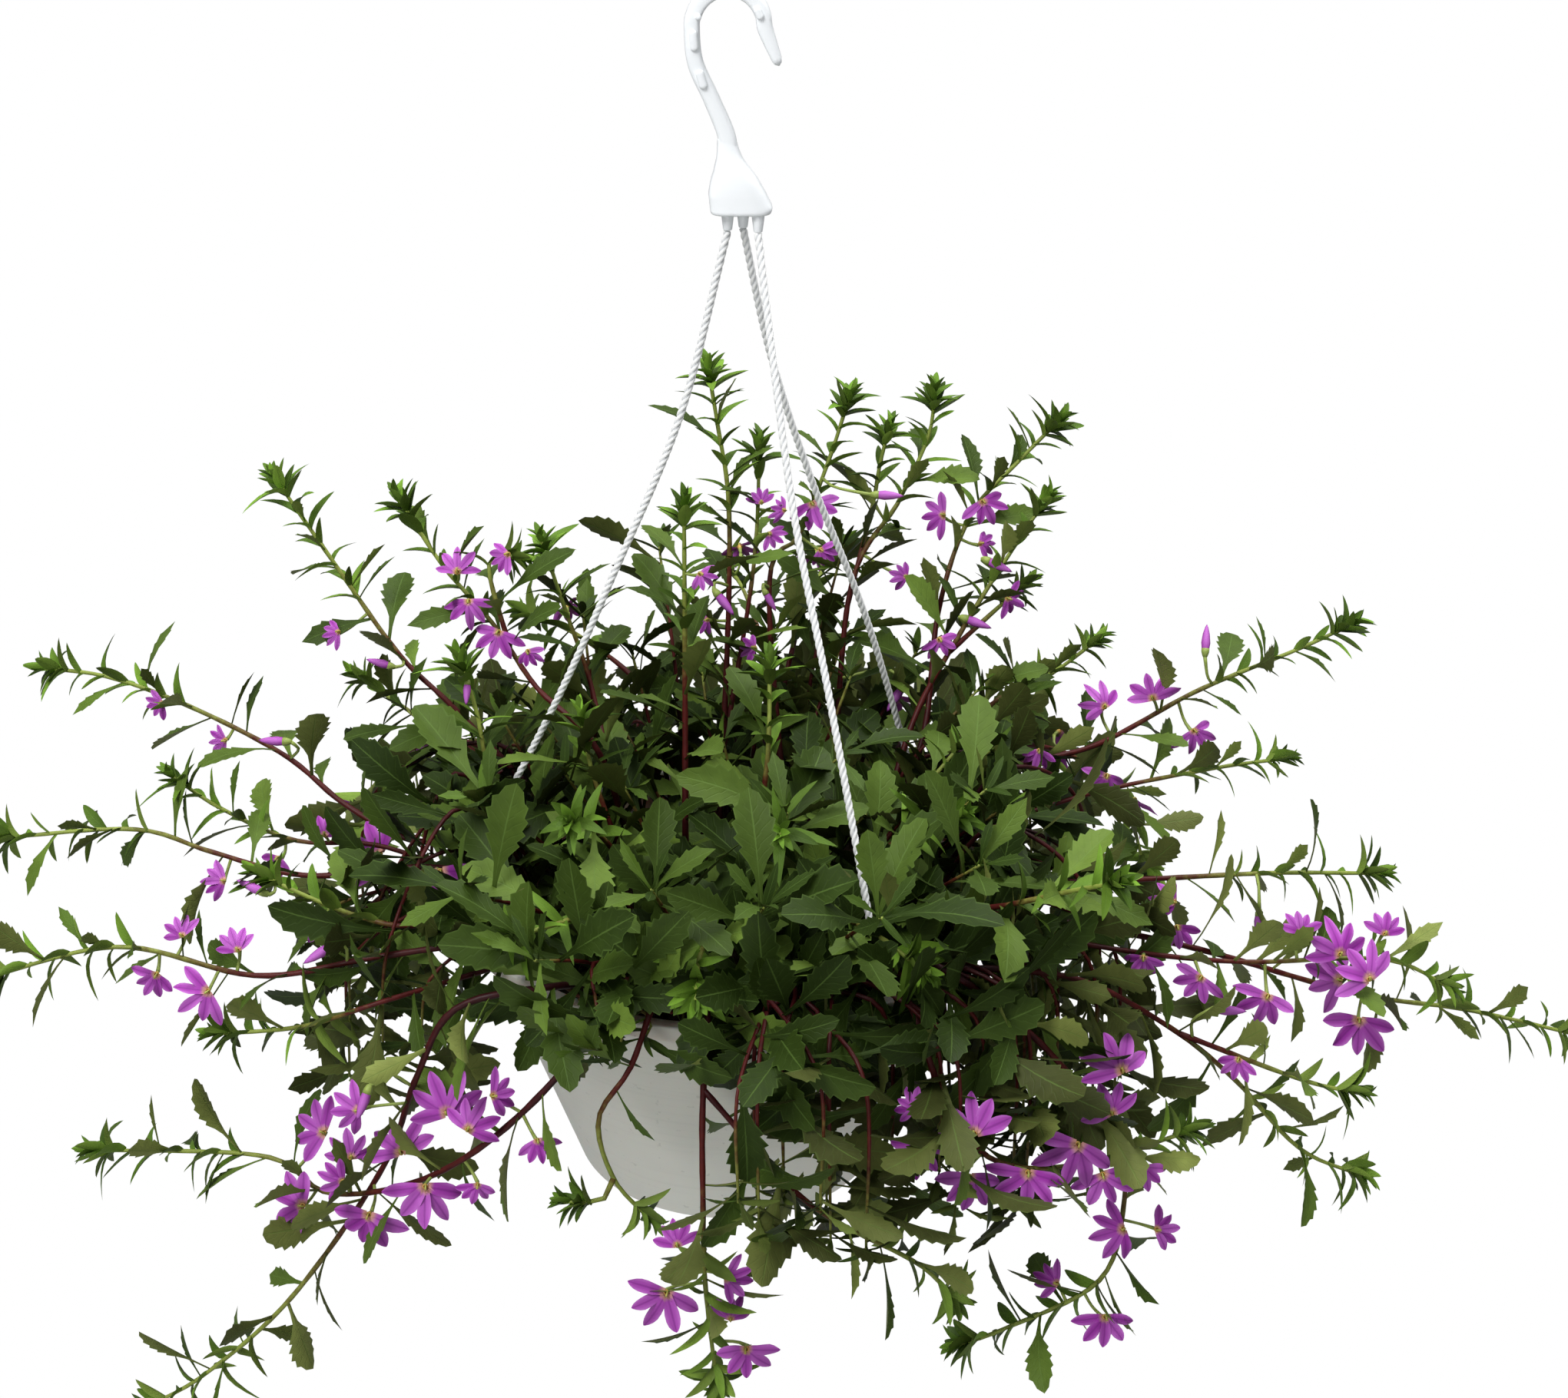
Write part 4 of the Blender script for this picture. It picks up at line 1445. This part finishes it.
class PotOperator(bpy.types.Operator):
    """Turns the pot with its lip and drain holes, and fills it with soil"""

    bl_idname = "basket.pot"
    bl_label = "Pot and soil"

    def execute(self, context):
        plan = settings("basket_pot")
        plastic = plastic_material("pot_plastic", plan, 0.07, 0.3, 0.36, 0.2, 0.0003, Subsurface_Weight=0.15,
                                   Subsurface_Scale=0.01)
        self.drain(context, self.pot(plastic, plan.corner / MM), plastic)
        colours = inks(plan, Dark="soil_dark", Light="soil_light", Grain="grain")
        earth = finish("potting_soil", soil_surface(), colours, 0.9, 0.002, Specular_IOR_Level=0.2)
        soil = Surface()
        soil.add(*self.soil())
        soil.piece("soil_top", [earth], "soil", "soil")
        return {"FINISHED"}

    @staticmethod
    def pot(plastic, corner):
        """The pot, turned from its outer and inner profile."""
        floor, lip = RIM_Z - POT["height"], RIM_Z - POT["lip"]
        (edge_out, edge_up), (lip_in, lip_up), (cove_in, cove_up) = POT["foot_edge"], POT["lip_foot"], POT["cove"]
        inner = mix(POT["foot"], POT["wall_top"], cove_up / POT["height"]) - POT["wall"]
        profile = [(0, floor), (POT["base"], floor), (POT["foot"] + edge_out, floor + edge_up),
                   (POT["wall_top"] - lip_in, lip), (POT["rim"], lip + lip_up), (POT["rim"], RIM_Z),
                   (POT["wall_top"] - POT["wall"], RIM_Z), (inner, floor + cove_up),
                   (POT["base"] - cove_in, floor + POT["wall"]), (0, floor + POT["wall"])]
        pot = Surface()
        pot.add(*turned(rounded(profile, corner), 128))
        return pot.piece("pot_moulding", [plastic], "pot", "pot")

    @staticmethod
    def drain(context, pot, plastic):
        """Cuts the drain holes through the pot's floor."""
        cutters, radius, reach = Surface(), DRAIN["radius"], DRAIN["cut"]
        for k in range(DRAIN["count"]):
            centre = (*(level((k + 0.5) / DRAIN["count"] * 2 * math.pi) * DRAIN["ring"]), RIM_Z - POT["height"])
            cutters.add(*turned([(0, -reach), (radius, -reach), (radius, reach), (0, reach)], 24, centre))
        tool = cutters.piece("drain_cutters", [plastic], "pot")
        cut = pot.modifiers.new("drain_holes", "BOOLEAN")
        cut.operation, cut.object, cut.solver = "DIFFERENCE", tool, "EXACT"
        with context.temp_override(object=pot, active_object=pot, selected_objects=[pot]):
            bpy.ops.object.modifier_apply(modifier=cut.name)
        bpy.data.objects.remove(tool)

    @staticmethod
    def soil():
        """The soil's skin. Its top is a low dome of height bump (1 − s²), s the share of its radius, with lumps
        that fade towards the wall: lumps (sin(.61x + 2 sin .33y) sin(.57y + 2 sin .29x)
        + ½ sin(1.7x + 1.3y) sin(1.9y − .7x))."""
        floor, top = RIM_Z - POT["height"], RIM_Z + SOIL["top"]
        bottom = floor + POT["wall"] + SOIL["floor_gap"]
        rings = [(wall_within(top) * share, top + SOIL["bump"] * (1 - share**2))
                 for share in np.linspace(1, 0, SOIL["rings"])[:-1]]
        profile = [(0, bottom), (POT["base"] - 4, bottom), (wall_within(floor + 12), floor + 12), *rings,
                   (0, top + SOIL["bump"])]
        points, faces, uv = turned(profile, SOIL["sides"])
        x, y, z = points.T
        inside = np.clip((wall_within(top) - np.hypot(x, y)) / SOIL["level_edge"], 0, 1) * (z > top - 0.5)
        lumps = np.sin(x * 0.61 + 2 * np.sin(y * 0.33)) * np.sin(y * 0.57 + 2 * np.sin(x * 0.29)) + 0.5 * np.sin(
            x * 1.7 + y * 1.3) * np.sin(y * 1.9 - x * 0.7)
        points[:, 2] += lumps * SOIL["lumps"] * inside
        return points, faces, uv


# Slimmer is the round stalk's radius as a share of the square CAD stalk's half diagonal.
ROUND_STALK = {"sides": 8, "rings_every": 6, "swell": 0.07, "wave": 3.1, "slimmer": 0.74}
SPROUT_STALK = {"thick": 1.9, "thin": 0.8, "age": 0.0, "ripe": 0.8}


def stalk_tube(surface, route, thick, thin, age, ripe=1.0):
    """A round stalk along a route. It thins evenly, and at d mm from its foot its radius is 1 + swell sin(d / wave)
    times that."""
    sides = ROUND_STALK["sides"]
    share = np.linspace(0, 1, max(4, int(route.length / ROUND_STALK["rings_every"])))
    swell = 1 + ROUND_STALK["swell"] * np.sin(share * route.length / ROUND_STALK["wave"])
    radius = (mix(thick, thin, share) * swell)[:, None] * ROUND_STALK["slimmer"]
    young = np.concatenate([np.repeat(mix(age, ripe, share), sides), [age, ripe]])
    surface.add(*tube(route.at(share), radius, sides), young=young)


class StalksOperator(bpy.types.Operator):
    """Grows the stalks of every stem and of the crown's sprouts"""

    bl_idname = "basket.stalks"
    bl_label = "Stalks"

    def execute(self, context):
        skin = [stalk_material()]
        for plant in plants():
            stalk = Surface()
            for shoot in plant["shoots"]:
                stalk_tube(stalk, shoot.route, shoot.thick, STALK["tip"], shoot.age)
            stalk.piece(plant["name"].replace("stem", "stalk"), skin, "foliage", plant["name"])
        crown = Surface()
        for route in sprouts() + trailers():
            stalk_tube(crown, route, **SPROUT_STALK)
        crown.piece("stalk_sprouts", skin, "foliage")
        return {"FINISHED"}


TOOTHED_OVER, NOTCHED_OVER = 36, 20  # mm: the lengths over which a leaf has many teeth, or few


class LeavesOperator(bpy.types.Operator):
    """Sets toothed leaves, bracts and tip tufts on every stem, and fills the crown"""

    bl_idname = "basket.leaves"
    bl_label = "Leaves"

    def execute(self, context):
        skin = [leaf_material()]
        for plant in plants():
            dice = np.random.default_rng(SEEDS["leaves"] + plant["order"])
            broad = Places.joined([varied(part, dice) for part in plant["leaves"] if len(part)]
                                  + extra_leaves(plant, dice))
            narrow = Places.joined(bracts(plant, dice))
            leaves = Surface()
            self.lay(leaves, broad)
            stamp(leaves, NARROW, narrow)
            leaves.piece(plant["name"].replace("stem", "leaves"), skin, "foliage", plant["name"])
        crown = Surface()
        self.lay(crown, Places.joined(sprout_leaves(np.random.default_rng(SEEDS["crown"]))))
        crown.piece("leaves_sprouts", skin, "foliage")
        return {"FINISHED"}

    @staticmethod
    def lay(surface, places):
        """Adds each leaf in the form that suits its length: toothed, notched or plain."""
        toothed, notched = places.length > TOOTHED_OVER, places.length > NOTCHED_OVER
        for form, chosen in ((TOOTHED, toothed), (NOTCHED, notched & ~toothed), (NARROW, ~notched)):
            stamp(surface, form, places.only(chosen))


def add_bloom(surface, bloom, dice, petal_width):
    """A fan of petals that curl back, a throat with its style, and a tube that narrows to the neck. Small fans and
    those high on the plant are narrower."""
    count, across = BLOOM["petals"], np.cross(bloom.normal, bloom.fan)
    spread = math.radians(BLOOM["spread"][bloom.size >= BLOOM["wide_from"]])
    reach = bloom.size * BLOOM["reach"] * BLOOM["scale"][bloom.size >= BLOOM["full_from"]]
    if bloom.centre[2] > RIM_Z + BLOOM["high"]:
        reach *= BLOOM["high_scale"]
    turn = (np.arange(count) - count // 2) * spread + dice.normal(0, 0.05, count)
    out = bloom.fan * np.cos(turn)[:, None] + across * np.sin(turn)[:, None]
    normal = np.tile(bloom.normal, (count, 1))
    stamp(surface, PETAL, Places(
        root=bloom.centre + out * reach * 0.05 + bloom.normal * 0.5, out=out, normal=normal,
        across=np.cross(out, normal), length=reach * dice.uniform(0.8, 1.0, count),
        half=reach * petal_width / 2 * dice.uniform(0.9, 1.08, count), thick=0.35,
        curl=BLOOM["curl"] + dice.uniform(-0.25, 0.5, count), fold=dice.uniform(-0.1, 0.5, count),
        twist=dice.normal(0, 0.3, count), wave=0.2, phase=dice.uniform(0, 6, count), tint=dice.uniform(0, 1, count)))
    wide, back = min(1.35, 0.05 * bloom.size), -BLOOM["back"]
    profile = [(0, back - 3.2), (0.55, back - 3.0), (0.85, back - 1.4), (wide * 0.8, -0.6), (wide, 0.7),
               (wide * 0.75, 1.25), (wide * 0.4, 0.9), (0, 0.5)]
    young = np.concatenate([np.repeat([1, 0.95, 0.7, 0.5, 0.45, 0.1], 8), [1, 0.0]])
    surface.add(*turned(profile, 8, bloom.centre, bloom.normal, bloom.fan), look=1, young=young)
    style = Route([bloom.centre, bloom.centre + bloom.normal * 2.2 - bloom.fan * 0.6,
                   bloom.centre + bloom.normal * 3.2 + bloom.fan * 1.6])
    add_thread(surface, style, (0.45, 0.42, 0.4, 0.4, 0.5, 0.55), 5, 0.75)


def add_thread(surface, route, radii, sides, young):
    """A thin tube along a route, with its radii at even shares of it."""
    path = route.at(np.linspace(0, 1, len(radii)))
    surface.add(*tube(path, np.array(radii)[:, None], sides), look=1, young=young)


def add_bud(surface, bloom, dice):
    """A closed bud: a spindle along the fan's direction, widest before its middle, green at its foot."""
    shape = np.array([(0, 0), (0.05, 0.02), (0.1, 0.16), (0.13, 0.38), (0.1, 0.62), (0.05, 0.8), (0, 0.9)])
    cup = np.array([(0, -0.03), (0.07, 0), (0.11, 0.12), (0.115, 0.22), (0, 0.21)])
    for profile, look in ((shape, {"tint": dice.uniform(0, 1)}), (cup, {"look": 1, "young": 1.0})):
        surface.add(*turned(profile * bloom.size, 8, bloom.centre, bloom.fan, bloom.normal), **look)


def add_pedicel(surface, bloom, shoots):
    """The thin stalk from the nearest shoot to a bloom's neck. It leaves along the shoot and ends along the
    neck."""
    neck = bloom.centre if bloom.is_bud else bloom.centre - bloom.normal * (BLOOM["back"] + BLOOM["neck"])
    share = np.arange(1, 80) / 80
    lines = np.concatenate([shoot.route.at(share) for shoot in shoots])
    start = lines[np.argmin(np.linalg.norm(lines - neck, axis=1))]
    into = bloom.fan if bloom.is_bud else bloom.normal
    bend = mix(start, neck, 0.6) - into * 0.25 * np.linalg.norm(neck - start)
    if np.linalg.norm(neck - start) >= 1.5:
        add_thread(surface, Route([start, bend, neck]), (0.85, 0.8, 0.75, 0.75, 0.8, 0.9, 1.0), 6, 0.9)


class FlowersOperator(bpy.types.Operator):
    """Opens the fan-shaped purple blooms and sets the buds"""

    bl_idname = "basket.flowers"
    bl_label = "Flowers"

    def execute(self, context):
        looks = list(bloom_materials())
        width = settings("basket_flowers").petal_width
        for plant in plants():
            dice = np.random.default_rng(SEEDS["flowers"] + plant["order"])
            fused = Surface()
            for bloom in plant["blooms"]:
                own = bloom.size >= OWN_BLOOM_SIZE
                target = Surface() if own else fused
                if bloom.is_bud:
                    add_bud(target, bloom, dice)
                else:
                    add_bloom(target, bloom, dice, width)
                add_pedicel(target, bloom, plant["shoots"])
                if own:
                    target.piece(bloom.node.replace("bloom", "petals"), looks, "petal", bloom.node)
            if fused.count:
                fused.piece(plant["name"].replace("stem", "petals"), looks, "petal", plant["name"])
        return {"FINISHED"}


class BasketPanel(bpy.types.Panel):
    """The basket's sizes, colours and pieces"""

    bl_label = "Hanging basket"
    bl_idname = "VIEW3D_PT_basket"
    bl_space_type = "VIEW_3D"
    bl_region_type = "UI"
    bl_category = "Basket"

    def draw(self, context):
        for operator in OPERATORS:
            self.layout.operator(operator.bl_idname)
        for name, group in GROUPS.items():
            box = self.layout.box()
            for key in group.__annotations__:
                box.prop(getattr(context.scene, name), key)


GROUPS = {"basket_stage": BasketStage, "basket_hanger": BasketHanger, "basket_pot": BasketPot,
          "basket_leaves": BasketLeaves, "basket_flowers": BasketFlowers}
OPERATORS = (StageOperator, CordsOperator, HookOperator, PotOperator, StalksOperator, LeavesOperator, FlowersOperator)


def register():
    for made in (*GROUPS.values(), *OPERATORS, BasketPanel):
        bpy.utils.register_class(made)
    for name, group in GROUPS.items():
        setattr(bpy.types.Scene, name, PointerProperty(type=group))


def unregister():
    for name in GROUPS:
        delattr(bpy.types.Scene, name)
    for made in (BasketPanel, *reversed(OPERATORS), *GROUPS.values()):
        bpy.utils.unregister_class(made)


def main():
    register()
    for operator in OPERATORS:
        group, name = operator.bl_idname.split(".")
        getattr(getattr(bpy.ops, group), name)()
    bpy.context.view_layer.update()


if __name__ == "__main__":
    main()
